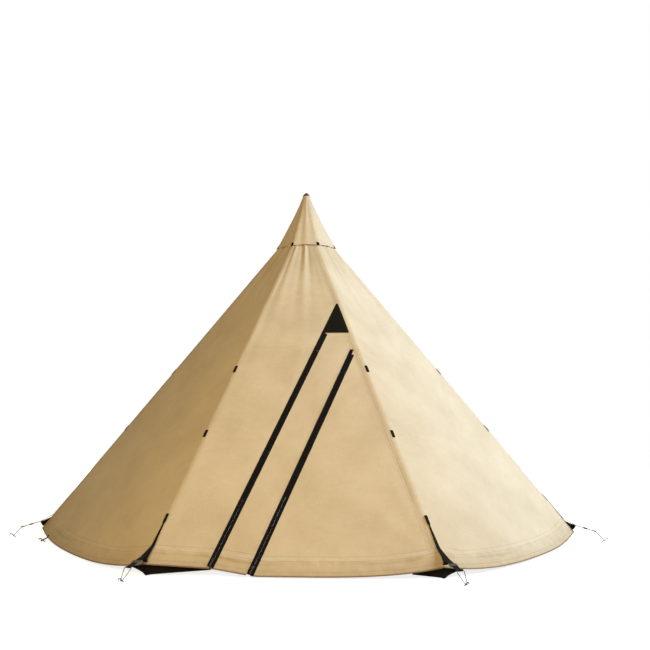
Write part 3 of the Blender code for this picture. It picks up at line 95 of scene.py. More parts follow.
# What holds the cloth flat: how far from it, and over what width the cloth then comes free
SEAM_FLAT, SEAM_BLEND = 0.034, 0.09
HEM_FLAT, HEM_BLEND, HEM_SLACK_SHARE = 0.02, 0.25, 0.35
ZIP_FLAT, ZIP_BLEND, ZIP_HOLDS_ABOVE = 0.030, 0.10, 0.3
FOLD_LINE_FLAT, FOLD_LINE_BLEND = 0.004, 0.08
PATCH_FLAT, PATCH_BLEND, PATCH_SQUEEZE = 0.17, 0.10, 0.8
# Folds under the crown: how far they run, and the depth, closeness and turn of each set
CROWN_FOLD_REACH, CROWN_FOLD_EDGE, CROWN_FOLD_TURN = 0.65, 0.05, 2.1
CROWN_FOLDS = ((1.0, 10.5, 1.0), (0.6, 18.0, -1.7))
# Folds at the corners, and the slack's broad and small waves with their shift at each side
CORNER_FOLD_REACH, CORNER_FOLD_START, CORNER_FOLD_WAVES = 0.55, 0.2, 13.0
BROAD_WAVES, BROAD_SHIFT = 1.7, Vector((3.0, 0.0, 0.0))
SMALL_WAVES, SMALL_SHIFT, SMALL_WAVE_SHARE = 4.3, Vector((0.0, 5.0, 0.0)), 0.45

TURN = 2.0 * math.pi
SIDE_ANGLE = TURN / SIDE_COUNT
HALF_CHORD = CORNER_RADIUS * math.sin(SIDE_ANGLE / 2.0)
APOTHEM = CORNER_RADIUS * math.cos(SIDE_ANGLE / 2.0)
SEAM_RISE = SEAM_MEETING_HEIGHT - CORNER_HEIGHT
SLANT = math.hypot(APOTHEM, SEAM_RISE)
SLOPE = math.atan2(SEAM_RISE, APOTHEM)
NORMAL_RISE = math.cos(SLOPE)
SEAM_SLOPE = math.atan2(SEAM_RISE, CORNER_RADIUS)
CROWN_SHARE = (CROWN_HEIGHT - CORNER_HEIGHT) / SEAM_RISE
CROWN_Y = CROWN_SHARE * SLANT
HEM_LINE = (HEM_MIDDLE_HEIGHT - CORNER_HEIGHT) / math.sin(SLOPE)
SHARP_ANGLE = math.radians(46.0)


class TentCanvasSettings(bpy.types.PropertyGroup):
    """Sizes of the cloth pieces."""
    thickness: FloatProperty(name="Canvas thickness", description="Thickness of the canvas",
                             default=0.0012, unit="LENGTH")
    columns: IntProperty(name="Columns", description="Columns of faces across a side", default=44)
    rows: IntProperty(name="Rows", description="Rows of faces up a side", default=84)
    crown_fold: FloatProperty(name="Crown folds", description="Depth of the folds under the cap",
                              default=0.0060, unit="LENGTH")
    corner_fold: FloatProperty(name="Corner folds", description="Depth of the pull at each corner",
                               default=0.0034, unit="LENGTH")
    slack: FloatProperty(name="Slack", description="Depth of the broad waves in the canvas",
                         default=0.0055, unit="LENGTH")
    hem_band: FloatProperty(name="Hem band", description="Width of the folded hem",
                            default=0.040, unit="LENGTH")
    skirt_seam: FloatProperty(name="Skirt seam", description="Height of the skirt's seam",
                              default=0.120, unit="LENGTH")
    skirt_height: FloatProperty(name="Skirt height", description="Height of the ground skirt",
                                default=0.130, unit="LENGTH")


class TentTrimSettings(bpy.types.PropertyGroup):
    """Sizes of webbing, zips and cap."""
    tab_length: FloatProperty(name="Tab length", description="Length of a seam tab",
                              default=0.072, unit="LENGTH")
    tab_width: FloatProperty(name="Tab width", description="Width of a seam tab",
                             default=0.026, unit="LENGTH")
    webbing: FloatProperty(name="Webbing thickness", description="Thickness of the webbing",
                           default=0.0019, unit="LENGTH")
    coil_pitch: FloatProperty(name="Coil pitch", description="Spacing of the zip coil's turns",
                              default=0.006, unit="LENGTH")
    cap_fold: FloatProperty(name="Cap folds", description="Depth of the cap's folds at its rim",
                            default=0.0042, unit="LENGTH")
    rim_wave: FloatProperty(name="Rim wave", description="Rise and fall of the cap's rim",
                            default=0.005, unit="LENGTH")


class TentColourSettings(bpy.types.PropertyGroup):
    """Colours as sRGB hex values."""
    canvas: StringProperty(name="Canvas", description="Proofed canvas", default="#D0C1A8")
    canvas_dark: StringProperty(name="Canvas, worn", description="Canvas in its darker patches",
                                default="#C2B196")
    thread: StringProperty(name="Thread", description="Stitching", default="#8A6E45")
    webbing: StringProperty(name="Webbing", description="Straps, tabs and skirt", default="#120E0B")
    zip: StringProperty(name="Zip", description="Zip tape", default="#0B0B0C")
    patch: StringProperty(name="Patch", description="Coated patch", default="#0D0C07")
    zinc: StringProperty(name="Zinc", description="Lacquered sliders", default="#2B2B2E")
    plated: StringProperty(name="Plated steel", description="Pegs and links", default="#707276")
    aluminium: StringProperty(name="Aluminium", description="Pole tubes", default="#CFD1D4")
    tip: StringProperty(name="Cap mast", description="Mast and its button", default="#3A2C1C")
    acetal: StringProperty(name="Acetal", description="Buckles and pole head", default="#19191A")
    rubber: StringProperty(name="Rubber", description="Pole foot", default="#1D1D1E")


class TentStageSettings(bpy.types.PropertyGroup):
    """Camera and light."""
    lens: FloatProperty(name="Lens", description="Focal length in millimetres", default=47.70)
    shift_x: FloatProperty(name="Shift X", description="Sideways shift of the view", default=0.0442)
    shift_y: FloatProperty(name="Shift Y", description="Upward shift of the view", default=0.1092)
    eye: FloatVectorProperty(name="Camera place", description="Where the camera stands",
                             default=(0.3277, -8.1970, 1.269), subtype="TRANSLATION")
    heading: FloatProperty(name="Heading", description="Turn of the camera about the vertical",
                           default=math.radians(2.96), subtype="ANGLE")
    key: FloatProperty(name="Key light", description="Cool light from the right", default=1.33)
    front: FloatProperty(name="Front light", description="Warm light from the front", default=0.60)
    back: FloatProperty(name="Back light", description="Warm light from behind", default=0.66)
    left: FloatProperty(name="Left light", description="Warm light from the back left",
                        default=0.24)
    fill: FloatProperty(name="Fill light", description="Light all round", default=0.06)
    floor: BoolProperty(name="Floor", description="Put in the floor", default=True)


def canvas_settings():
    return bpy.context.scene.tent_canvas


def trim_settings():
    return bpy.context.scene.tent_trim


def colour_settings():
    return bpy.context.scene.tent_colours


# The canvas surface
def outward(angle):
    """Level direction away from the pole, at an angle from -Y towards +X."""
    return Vector((math.sin(angle), -math.cos(angle), 0.0))


def corner(seam):
    point = outward((seam + 0.5) * SIDE_ANGLE) * CORNER_RADIUS
    point.z = CORNER_HEIGHT
    return point


def side_normal(side):
    return outward(side * SIDE_ANGLE) * math.sin(SLOPE) + Vector((0.0, 0.0, NORMAL_RISE))


def side_bulge(side, across):
    """How far a side stands out of its plane at the hem, fuller towards the door side."""
    if side % SIDE_COUNT == 0:
        return 0.0
    towards_door = across if side > SIDE_COUNT / 2.0 else -across
    return PANEL_BULGE * (1.0 - across ** 2) * (1.0 + BULGE_LEAN_SHARE * towards_door)


def side_point(side, across, rise, lift=0.0):
    """Point of a side, across from -1 to 1, up it from 0 to 1 and lifted out of it."""
    left = corner(side - 1)
    right = corner(side)
    base = left * (1.0 - across) / 2.0 + right * (1.0 + across) / 2.0
    meeting = Vector((0.0, 0.0, SEAM_MEETING_HEIGHT))
    bulge = side_bulge(side, across) * (1.0 - rise) ** 2
    point = base.lerp(meeting, rise) + side_normal(side) * bulge
    point.z += lift / NORMAL_RISE
    return point


def hem_height(across):
    share = min(1.0, abs(across)) ** HEM_CURVE_POWER
    return HEM_MIDDLE_HEIGHT + (CORNER_HEIGHT - HEM_MIDDLE_HEIGHT) * share


def rise_at(side, across, height):
    return (height - CORNER_HEIGHT - side_bulge(side, across) * NORMAL_RISE) / SEAM_RISE


def grow(value, start, width):
    """0 up to a start, then smoothly on to 1 over a width."""
    share = min(1.0, max(0.0, (value - start) / width))
    return share * share * (3.0 - 2.0 * share)


def half_width(y):
    return HALF_CHORD * (1.0 - y / SLANT)


def zip_x(foot, y):
    return foot + y * math.tan(ZIP_LEAN)


def zip_edge(foot, side, y):
    return zip_x(foot, y) + side * ZIP_CANVAS_GAP / 2.0 / math.cos(ZIP_LEAN)


def fold_x(y):
    return half_width(y) - DOOR_MARGIN


def strip_fold_x(y):
    return zip_x(RIGHT_ZIP_FOOT, y) - (ZIP_WIDTH + DOOR_GAP) / 2.0 / math.cos(ZIP_LEAN)


def hem_y(x):
    """Hem of the door side, which is held higher left of the left zip."""
    height = hem_height(x / HALF_CHORD)
    if x < LEFT_ZIP_FOOT:
        share = (x + HALF_CHORD) / (LEFT_ZIP_FOOT + HALF_CHORD)
        height = CORNER_HEIGHT + (DOOR_HEM_HEIGHT - CORNER_HEIGHT) * share
    elif x < RIGHT_ZIP_FOOT:
        share = (x - LEFT_ZIP_FOOT) / (RIGHT_ZIP_FOOT - LEFT_ZIP_FOOT)
        right_height = hem_height(RIGHT_ZIP_FOOT / HALF_CHORD)
        height = DOOR_HEM_HEIGHT + (right_height - DOOR_HEM_HEIGHT) * share
    return (height - CORNER_HEIGHT) / math.sin(SLOPE)


def zip_low(foot):
    return hem_y(foot) + ZIP_FOOT_GAP


def meeting_y(line_foot, margin):
    return (HALF_CHORD - margin - line_foot) / (math.tan(ZIP_LEAN) + HALF_CHORD / SLANT)


def patch_left_x(y):
    """Left edge of the patch, in line with the left edge of the left zip."""
    return zip_x(LEFT_ZIP_FOOT, y) - ZIP_WIDTH / 2.0 / math.cos(ZIP_LEAN)


DOOR_HEAD = meeting_y(RIGHT_ZIP_FOOT, DOOR_MARGIN)
PATCH_TOP = meeting_y(patch_left_x(0.0), PATCH_INSET)
PATCH_BASE = PATCH_TOP - PATCH_HEIGHT
PATCH_CORNERS = (Vector((patch_left_x(PATCH_BASE), PATCH_BASE)),
                 Vector((half_width(PATCH_BASE) - PATCH_INSET, PATCH_BASE)),
                 Vector((half_width(PATCH_TOP) - PATCH_INSET, PATCH_TOP)))
PATCH_MIDDLE = sum(PATCH_CORNERS, Vector((0.0, 0.0))) / 3.0


def ridge_round(from_seam):
    """How far the cloth lies in from the planes of two sides, rounded over their ridge."""
    return -max(0.0, RIDGE_REACH - abs(from_seam)) ** 2 / (2.0 * RIDGE_RADIUS)


def relief(side, across, rise):
    """How far the cloth stands off its even surface: folds under the cap, pull, slack."""
    settings = canvas_settings()
    side = side % SIDE_COUNT
    width = HALF_CHORD * (1.0 - rise)
    x = across * width
    y = rise * SLANT
    from_seam = width - abs(x)
    hem = hem_y(x) if side == 0 else rise_at(side, across, hem_height(across)) * SLANT

    # Folds run down from the crown, other ones on each side
    folds = sum(depth * math.cos(across * waves + side * CROWN_FOLD_TURN * turn)
                for depth, waves, turn in CROWN_FOLDS)
    fade = math.exp(-(CROWN_Y - y) / CROWN_FOLD_REACH)
    crown = settings.crown_fold * fade * folds * grow(from_seam, 0.0, CROWN_FOLD_EDGE)

    # Small folds fan out from both corners; 1 mm keeps their angle steady at the corner itself
    pull = 0.0
    for end in (-1.0, 1.0):
        reach_x = max(0.0, width - end * x)
        reach_y = max(0.0, y)
        reach = math.hypot(reach_x, reach_y)
        angle = math.atan2(reach_y, reach_x + 0.001)
        fold = math.cos(angle * CORNER_FOLD_WAVES + end) * math.exp(-reach / CORNER_FOLD_REACH)
        pull += fold * grow(reach, 0.0, CORNER_FOLD_START)

    # Slack: broad waves with small ones on them, less deep by the hem
    place = side_point(side, across, rise)
    wave = noise.noise(place * BROAD_WAVES + BROAD_SHIFT * side)
    wave += SMALL_WAVE_SHARE * noise.noise(place * SMALL_WAVES + SMALL_SHIFT * side)
    low = grow(y - hem, HEM_FLAT, HEM_BLEND)
    slack = settings.slack * wave * (HEM_SLACK_SHARE + (1.0 - HEM_SLACK_SHARE) * low)
    hold = grow(from_seam, SEAM_FLAT, SEAM_BLEND)
    height = crown + hold * (settings.corner_fold * pull + slack)

    if side == 0:
        # The zips, the door's fold line and the patch hold it too
        if y < DOOR_HEAD + ZIP_HOLDS_ABOVE:
            for foot in (LEFT_ZIP_FOOT, RIGHT_ZIP_FOOT):
                beside = abs(x - zip_x(foot, y)) * math.cos(ZIP_LEAN)
                height *= grow(beside, ZIP_FLAT, ZIP_BLEND)
        height *= grow(abs(fold_x(y) - x), FOLD_LINE_FLAT, FOLD_LINE_BLEND)
        patch_reach = math.hypot(x - PATCH_MIDDLE.x, (y - PATCH_MIDDLE.y) * PATCH_SQUEEZE)
        height *= grow(patch_reach, PATCH_FLAT, PATCH_BLEND)
    return height


# Meshes
def new_mesh(name, points, faces, values=None, cloth=None):
    """A mesh with named values on its points and a cloth map in metres."""
    mesh = bpy.data.meshes.new(name)
    mesh.from_pydata([tuple(point) for point in points], [], faces)
    for key, numbers in (values or {}).items():
        attribute = mesh.attributes.new(key, "FLOAT", "POINT")
        attribute.data.foreach_set("value", numbers)
    if cloth is not None:
        layer = mesh.uv_layers.new(name="cloth")
        for loop in mesh.loops:
            layer.data[loop.index].uv = cloth[loop.vertex_index]
    mesh.shade_smooth()
    mesh.set_sharp_from_angle(angle=SHARP_ANGLE)
    return mesh


def new_piece(name, mesh, material, body="tent"):
    piece = bpy.data.objects.new(name, mesh)
    bpy.context.scene.collection.objects.link(piece)
    mesh.materials.clear()
    mesh.materials.append(material)
    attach(piece, body)
    return piece


def thicken(piece, thickness, offset=-1.0):
    step = piece.modifiers.new("thickness", "SOLIDIFY")
    step.thickness = thickness
    step.offset = offset
    step.use_even_offset = True
    # Keeps the narrow rim faces from shading the cloth's edges
    piece.modifiers.new("sharp rim", "EDGE_SPLIT").split_angle = SHARP_ANGLE
    return piece


def round_edges(piece, width, segments=2):
    step = piece.modifiers.new("rounded edges", "BEVEL")
    step.width = width
    step.segments = segments
    step.limit_method = "ANGLE"
    step.harden_normals = False
    return piece


def grid_faces(columns, rows, closed=False):
    """Faces of a grid of points stored row by row; closed joins its last column to its first."""
    faces = []
    for row in range(rows - 1):
        for column in range(columns if closed else columns - 1):
            after = (column + 1) % columns
            faces.append((row * columns + column, row * columns + after,
                          (row + 1) * columns + after, (row + 1) * columns + column))
    return faces


def swept_faces(count, rows):
    """Faces of a closed section of points, carried through rows and capped at both ends."""
    last = (rows - 1) * count
    return grid_faces(count, rows, closed=True) + [tuple(reversed(range(count))),
                                                   tuple(last + i for i in range(count))]


def join_meshes(name, meshes):
    """One mesh from several, their cloth maps kept."""
    shape = bmesh.new()
    for mesh in meshes:
        shape.from_mesh(mesh)
    joined = bpy.data.meshes.new(name)
    shape.to_mesh(joined)
    shape.free()
    return joined


def edit_mesh(mesh, change):
    """The same mesh, changed by a function that takes it as a bmesh."""
    shape = bmesh.new()
    shape.from_mesh(mesh)
    change(shape)
    shape.to_mesh(mesh)
    shape.free()
    return mesh


def axes_at(across, along, out, place):
    """Matrix that puts X, Y and Z on three directions at a place."""
    matrix = Matrix((across, along, out)).transposed().to_4x4()
    matrix.translation = place
    return matrix


def sheet_area(mesh):
    return sum(face.area for face in mesh.polygons)


def finish_sheet(piece, node, thickness, offset=-1.0):
    """Put a sheet in its node's place and give it its thickness."""
    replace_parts(piece, node)
    thicken(piece, thickness, offset)


def new_webbing(name, meshes, body="tent"):
    """A piece of webbing, sewn together from several lengths."""
    return new_piece(name, join_meshes(name, meshes), woven_polyester_webbing(), body)


# Materials
MATH, MIX, RANGE = "ShaderNodeMath", "ShaderNodeMix", "ShaderNodeMapRange"
NOISE, WAVE, BUMP = "ShaderNodeTexNoise", "ShaderNodeTexWave", "ShaderNodeBump"
ATTRIBUTE, UV_MAP, MAPPING = "ShaderNodeAttribute", "ShaderNodeUVMap", "ShaderNodeMapping"
# Sockets of the mix node when it mixes colours: it has more than one of each name
SHARE, FIRST, SECOND, MIXED = 0, 6, 7, 2


def linear(hex_value, alpha=1.0):
    """An sRGB hex colour as linear red, green, blue and alpha."""
    channels = []
    for start in (1, 3, 5):
        value = int(hex_value[start:start + 2], 16) / 255.0
        channels.append(value / 12.92 if value <= 0.04045 else ((value + 0.055) / 1.055) ** 2.4)
    return (*channels, alpha)


def add_node(tree, kind, links=None, **settings):
    """A node with its settings. Each input is a value, a socket or a node's first output."""
    node = tree.nodes.new(kind)
    for key, value in settings.items():
        setattr(node, key, value)
    for socket, value in (links or {}).items():
        if isinstance(value, bpy.types.Node):
            value = value.outputs[0]
        if isinstance(value, bpy.types.NodeSocket):
            tree.links.new(value, node.inputs[socket])
        else:
            node.inputs[socket].default_value = value
    return node


def wave_scale(spacing_mm):
    """Scale of a wave texture whose bands lie this far apart on a map in metres."""
    return TURN / 20.0 / (spacing_mm / 1000.0)


def start_material(name, values):
    """A material, its nodes and its Principled shader, with values on the shader's sockets."""
    material = bpy.data.materials.new(name)
    material.use_nodes = True
    tree = material.node_tree
    shader = tree.nodes["Principled BSDF"]
    for socket, value in values.items():
        shader.inputs[socket].default_value = value
    return material, tree, shader


def cached(maker):
    """Make a material once."""
    def get():
        found = bpy.data.materials.get(maker.__name__)
        return found or maker(maker.__name__)
    return get


def stitch_rows(tree, distance, rows, along, width_mm=1.8, stitch_mm=7.0, stitch_share=0.72):
    """Mask of stitch rows at set distances from an edge, broken into stitches along it."""
    dash = add_node(tree, MATH, {0: along, 1: 1000.0 / stitch_mm}, operation="MULTIPLY")
    dash = add_node(tree, MATH, {0: dash}, operation="FRACT")
    dash = add_node(tree, MATH, {0: dash, 1: stitch_share}, operation="LESS_THAN")
    total = None
    for row in rows:
        near = add_node(tree, MATH, {0: distance, 1: row, 2: width_mm / 2000.0},
                        operation="COMPARE")
        total = near if total is None else add_node(tree, MATH, {0: total, 1: near},
                                                    operation="MAXIMUM")
    return add_node(tree, MATH, {0: total, 1: dash}, operation="MULTIPLY")


@cached
def woven_proofed_canvas(name):
    """Cotton and polyester canvas, plain woven and proofed: matt, with slubs and a faint bloom."""
    colours = colour_settings()
    settings = canvas_settings()
    material, tree, shader = start_material(name, {
        "Roughness": 0.88, "Specular IOR Level": 0.25, "Sheen Weight": 0.12,
        "Sheen Roughness": 0.6})
    cloth = add_node(tree, UV_MAP, uv_map="cloth")
    split = add_node(tree, "ShaderNodeSeparateXYZ", {0: cloth})
    hem = add_node(tree, ATTRIBUTE, attribute_name="from_hem").outputs["Fac"]
    seam = add_node(tree, ATTRIBUTE, attribute_name="from_seam").outputs["Fac"]

    # Dye and weather: patches about 0.5 m across
    patches = add_node(tree, NOISE, {"Vector": cloth, "Scale": 2.0, "Detail": 4.0,
                                     "Roughness": 0.6})
    patchy = add_node(tree, RANGE, {"Value": patches, "From Min": 0.35, "From Max": 0.68})
    colour = add_node(tree, MIX, {SHARE: patchy, FIRST: linear(colours.canvas),
                                  SECOND: linear(colours.canvas_dark)}, data_type="RGBA")

    # Slubs: thick threads 3 mm wide and 60 mm long, in both directions of the weave
    slub_masks = []
    for scale in ((320.0, 16.0, 1.0), (16.0, 320.0, 1.0)):
        stretched = add_node(tree, MAPPING, {"Vector": cloth, "Scale": scale})
        slub_masks.append(add_node(tree, NOISE, {"Vector": stretched, "Scale": 1.0,
                                                 "Detail": 2.0}))
    slubs = add_node(tree, MATH, dict(enumerate(slub_masks)), operation="ADD")
    shade = add_node(tree, RANGE, {"Value": slubs, "From Min": 0.8, "From Max": 1.35,
                                   "To Min": 0.94, "To Max": 1.05})
    colour = add_node(tree, "ShaderNodeVectorMath", {0: colour.outputs[MIXED], "Scale": shade},
                      operation="SCALE")

    # Painted shade near the ground, with some soil: darker and browner in the lowest 0.2 m
    low_band_noise = add_node(tree, NOISE, {"Vector": cloth, "Scale": 14.0, "Detail": 5.0})
    ragged = add_node(tree, MATH, {0: low_band_noise, 1: 0.22, 2: -0.06}, operation="MULTIPLY_ADD")
    low = add_node(tree, MATH, {0: hem, 1: ragged}, operation="ADD")
    soil_and_painted_shade = add_node(tree, RANGE, {"Value": low, "From Min": 0.0, "From Max": 0.20,
                                  "To Min": 0.46, "To Max": 0.0})
    colour = add_node(tree, MIX, {SHARE: soil_and_painted_shade, FIRST: colour, SECOND: linear("#8F744A")},
                      data_type="RGBA")

    # Stitching: rows on the laps, on the folded hem and where the skirt is sewn on
    lap_rows = stitch_rows(tree, seam, (0.004, 0.018), split.outputs["Y"])
    skirt_rows = (settings.skirt_seam, settings.skirt_seam + 0.036)
    hem_rows = stitch_rows(tree, hem, (0.004, settings.hem_band, *skirt_rows),
                           split.outputs["X"])
    rows = add_node(tree, MATH, {0: lap_rows, 1: hem_rows}, operation="MAXIMUM")
    colour = add_node(tree, MIX, {SHARE: rows, FIRST: colour.outputs[MIXED],
                                  SECOND: linear(colours.thread)}, data_type="RGBA")

    # Painted shade along the folded hem's lower edge, where the cloth turns under: dark brown
    edge = add_node(tree, RANGE, {"Value": hem, "From Min": 0.007, "From Max": 0.013,
                                  "To Min": 0.8, "To Max": 0.0})
    colour = add_node(tree, MIX, {SHARE: edge, FIRST: colour.outputs[MIXED],
                                  SECOND: linear("#6A4F30")}, data_type="RGBA")
    tree.links.new(colour.outputs[MIXED], shader.inputs["Base Color"])

    # Weave: the real threads are 0.6 mm apart, drawn at 2.4 mm so that they show
    warp, weft = (add_node(tree, WAVE, {"Vector": cloth, "Scale": wave_scale(2.4)},
                           bands_direction=direction).outputs["Fac"] for direction in "XY")
    weave = add_node(tree, MATH, {0: warp, 1: weft}, operation="MULTIPLY")
    raised = add_node(tree, MATH, {0: slubs, 1: 0.8, 2: weave}, operation="MULTIPLY_ADD")
    sunk = add_node(tree, MATH, {0: rows, 1: -2.0, 2: raised}, operation="MULTIPLY_ADD")

    # Soft creases 0.5 m long, and the tuck that the cloth keeps along the hem, 0.12 m up
    creases = add_node(tree, MAPPING, {"Vector": cloth, "Scale": (2.0, 4.4, 1.0)})
    creases = add_node(tree, NOISE, {"Vector": creases, "Scale": 1.0, "Detail": 3.0})
    beside = add_node(tree, MATH, {0: creases, 1: 0.09, 2: hem}, operation="MULTIPLY_ADD")
    beside = add_node(tree, MATH, {0: beside, 1: 0.165}, operation="SUBTRACT")
    beside = add_node(tree, MATH, {0: beside}, operation="ABSOLUTE")
    tuck = add_node(tree, RANGE, {"Value": beside, "From Min": 0.0, "From Max": 0.035,
                                  "To Min": 1.0, "To Max": 0.0}, interpolation_type="SMOOTHSTEP")
    tuck = add_node(tree, MATH, {0: tuck, 1: patchy}, operation="MULTIPLY")
    soft = add_node(tree, MATH, {0: creases, 1: 0.8, 2: tuck}, operation="MULTIPLY_ADD")
    crease_bump = add_node(tree, BUMP, {"Height": soft, "Strength": 1.0, "Distance": 0.013})
    bump = add_node(tree, BUMP, {"Height": sunk, "Strength": 0.35, "Distance": 0.0005,
                                 "Normal": crease_bump})
    tree.links.new(bump.outputs["Normal"], shader.inputs["Normal"])
    return material


def woven_black(name, hex_value, spacing_mm, roughness):
    """A black woven material with ribs across its run and worn, greyer high places."""
    material, tree, shader = start_material(name, {"Roughness": roughness,
                                                   "Specular IOR Level": 0.09})
    cloth = add_node(tree, UV_MAP, uv_map="cloth")
    ribs, lines = (add_node(tree, WAVE, {"Vector": cloth, "Scale": wave_scale(spacing)},
                            bands_direction=direction).outputs["Fac"]
                   for spacing, direction in ((spacing_mm, "Y"), (spacing_mm * 1.5, "X")))
    weave = add_node(tree, MATH, {0: ribs, 1: lines}, operation="MULTIPLY")
    wear = add_node(tree, NOISE, {"Vector": cloth, "Scale": 60.0, "Detail": 5.0})
    worn = add_node(tree, MATH, {0: wear, 1: weave}, operation="MULTIPLY")
    share = add_node(tree, RANGE, {"Value": worn, "From Min": 0.2, "From Max": 0.7})
    colour = add_node(tree, MIX, {SHARE: share, FIRST: linear(hex_value),
                                  SECOND: linear("#241C15")}, data_type="RGBA")
    tree.links.new(colour.outputs[MIXED], shader.inputs["Base Color"])
    bump = add_node(tree, BUMP, {"Height": weave, "Strength": 0.6, "Distance": 0.0005})
    tree.links.new(bump.outputs["Normal"], shader.inputs["Normal"])
    return material


@cached
def woven_polyester_webbing(name):
    """Polyester webbing, ribbed 1.3 mm apart on the loom, drawn at 2 mm: matt black."""
    return woven_black(name, colour_settings().webbing, spacing_mm=2.0, roughness=0.90)


@cached
def woven_zip_tape(name):
    """Knitted polyester tape, its ribs drawn at 1.6 mm: flatter and darker than the webbing."""
    return woven_black(name, colour_settings().zip, spacing_mm=1.6, roughness=0.85)


@cached
def coated_skirt_cloth(name):
    """Coated polyester skirt, plain woven, drawn at 3 mm: black, a little less matt."""
    return woven_black(name, colour_settings().webbing, spacing_mm=3.0, roughness=0.82)


@cached
def coated_patch_cloth(name):
    """Rubber coated cloth, calendered smooth: near black, with a low sheen and fine grain."""
    material, tree, shader = start_material(name, {"Roughness": 0.66,
                                                   "Specular IOR Level": 0.06})
    cloth = add_node(tree, UV_MAP, uv_map="cloth")
    edge = add_node(tree, ATTRIBUTE, attribute_name="from_seam").outputs["Fac"]
    along = add_node(tree, ATTRIBUTE, attribute_name="along_edge").outputs["Fac"]
    rows = stitch_rows(tree, edge, (0.006, 0.012), along, width_mm=1.4, stitch_mm=6.0)
    colour = add_node(tree, MIX, {SHARE: rows, FIRST: linear(colour_settings().patch),
                                  SECOND: linear("#26231B")}, data_type="RGBA")
    tree.links.new(colour.outputs[MIXED], shader.inputs["Base Color"])
    # Calendered grain 1 mm across
    grain = add_node(tree, "ShaderNodeTexVoronoi", {"Vector": cloth, "Scale": 1000.0})
    sunk = add_node(tree, MATH, {0: rows, 1: -1.5, 2: grain}, operation="MULTIPLY_ADD")
    bump = add_node(tree, BUMP, {"Height": sunk, "Strength": 0.25, "Distance": 0.0003})
    tree.links.new(bump.outputs["Normal"], shader.inputs["Normal"])
    return material


def hard_material(name, hex_value, worn_hex, roughness, metallic, grain_mm, grain_depth):
    """A hard finish with grain of a real size, and a second tone where it is worn."""
    material, tree, shader = start_material(name, {"Roughness": roughness, "Metallic": metallic})
    place = add_node(tree, "ShaderNodeTexCoord").outputs["Object"]
    grain = add_node(tree, NOISE, {"Vector": place, "Scale": 1000.0 / grain_mm, "Detail": 4.0,
                                   "Roughness": 0.65})
    wear = add_node(tree, NOISE, {"Vector": place, "Scale": 90.0, "Detail": 6.0})
    share = add_node(tree, RANGE, {"Value": wear, "From Min": 0.5, "From Max": 0.75})
    colour = add_node(tree, MIX, {SHARE: share, FIRST: linear(hex_value),
                                  SECOND: linear(worn_hex)}, data_type="RGBA")
    tree.links.new(colour.outputs[MIXED], shader.inputs["Base Color"])
    gloss = add_node(tree, RANGE, {"Value": grain, "To Min": roughness * 0.8,
                                   "To Max": min(1.0, roughness * 1.25)})
    tree.links.new(gloss.outputs["Result"], shader.inputs["Roughness"])
    bump = add_node(tree, BUMP, {"Height": grain, "Strength": grain_depth, "Distance": 0.0002})
    tree.links.new(bump.outputs["Normal"], shader.inputs["Normal"])
    return material


@cached
def lacquered_zinc(name):
    """Zinc die casting, barrel finished and black lacquered: satin, grey where fingers rub it."""
    return hard_material(name, colour_settings().zinc, "#57575A", roughness=0.38, metallic=1.0,
                         grain_mm=0.8, grain_depth=0.2)


@cached
def zinc_plated_steel(name):
    """Drawn steel rod and wire, zinc plated: grey spangle, duller where it has weathered."""
    return hard_material(name, colour_settings().plated, "#55575A", roughness=0.36,
                         metallic=1.0, grain_mm=3.0, grain_depth=0.25)


@cached
def drawn_aluminium(name):
    """Drawn aluminium tube, clear anodised: pale satin metal with fine scuffs."""
    return hard_material(name, colour_settings().aluminium, "#B4B6B9", roughness=0.32,
                         metallic=1.0, grain_mm=1.2, grain_depth=0.15)


@cached
def bronze_anodised_aluminium(name):
    """Turned aluminium, dyed dark bronze in the anodising bath: low satin shine."""
    return hard_material(name, colour_settings().tip, "#5A4630", roughness=0.42, metallic=0.6,
                         grain_mm=1.0, grain_depth=0.2)


@cached
def moulded_acetal(name):
    """Acetal, injection moulded with a fine spark texture: black, semi matt."""
    return hard_material(name, colour_settings().acetal, "#262627", roughness=0.46,
                         metallic=0.0, grain_mm=1.0, grain_depth=0.3)


@cached
def moulded_rubber(name):
    """Natural rubber, compression moulded: matt black with a dusty bloom."""
    return hard_material(name, colour_settings().rubber, "#3B3833", roughness=0.82,
                         metallic=0.0, grain_mm=1.5, grain_depth=0.4)


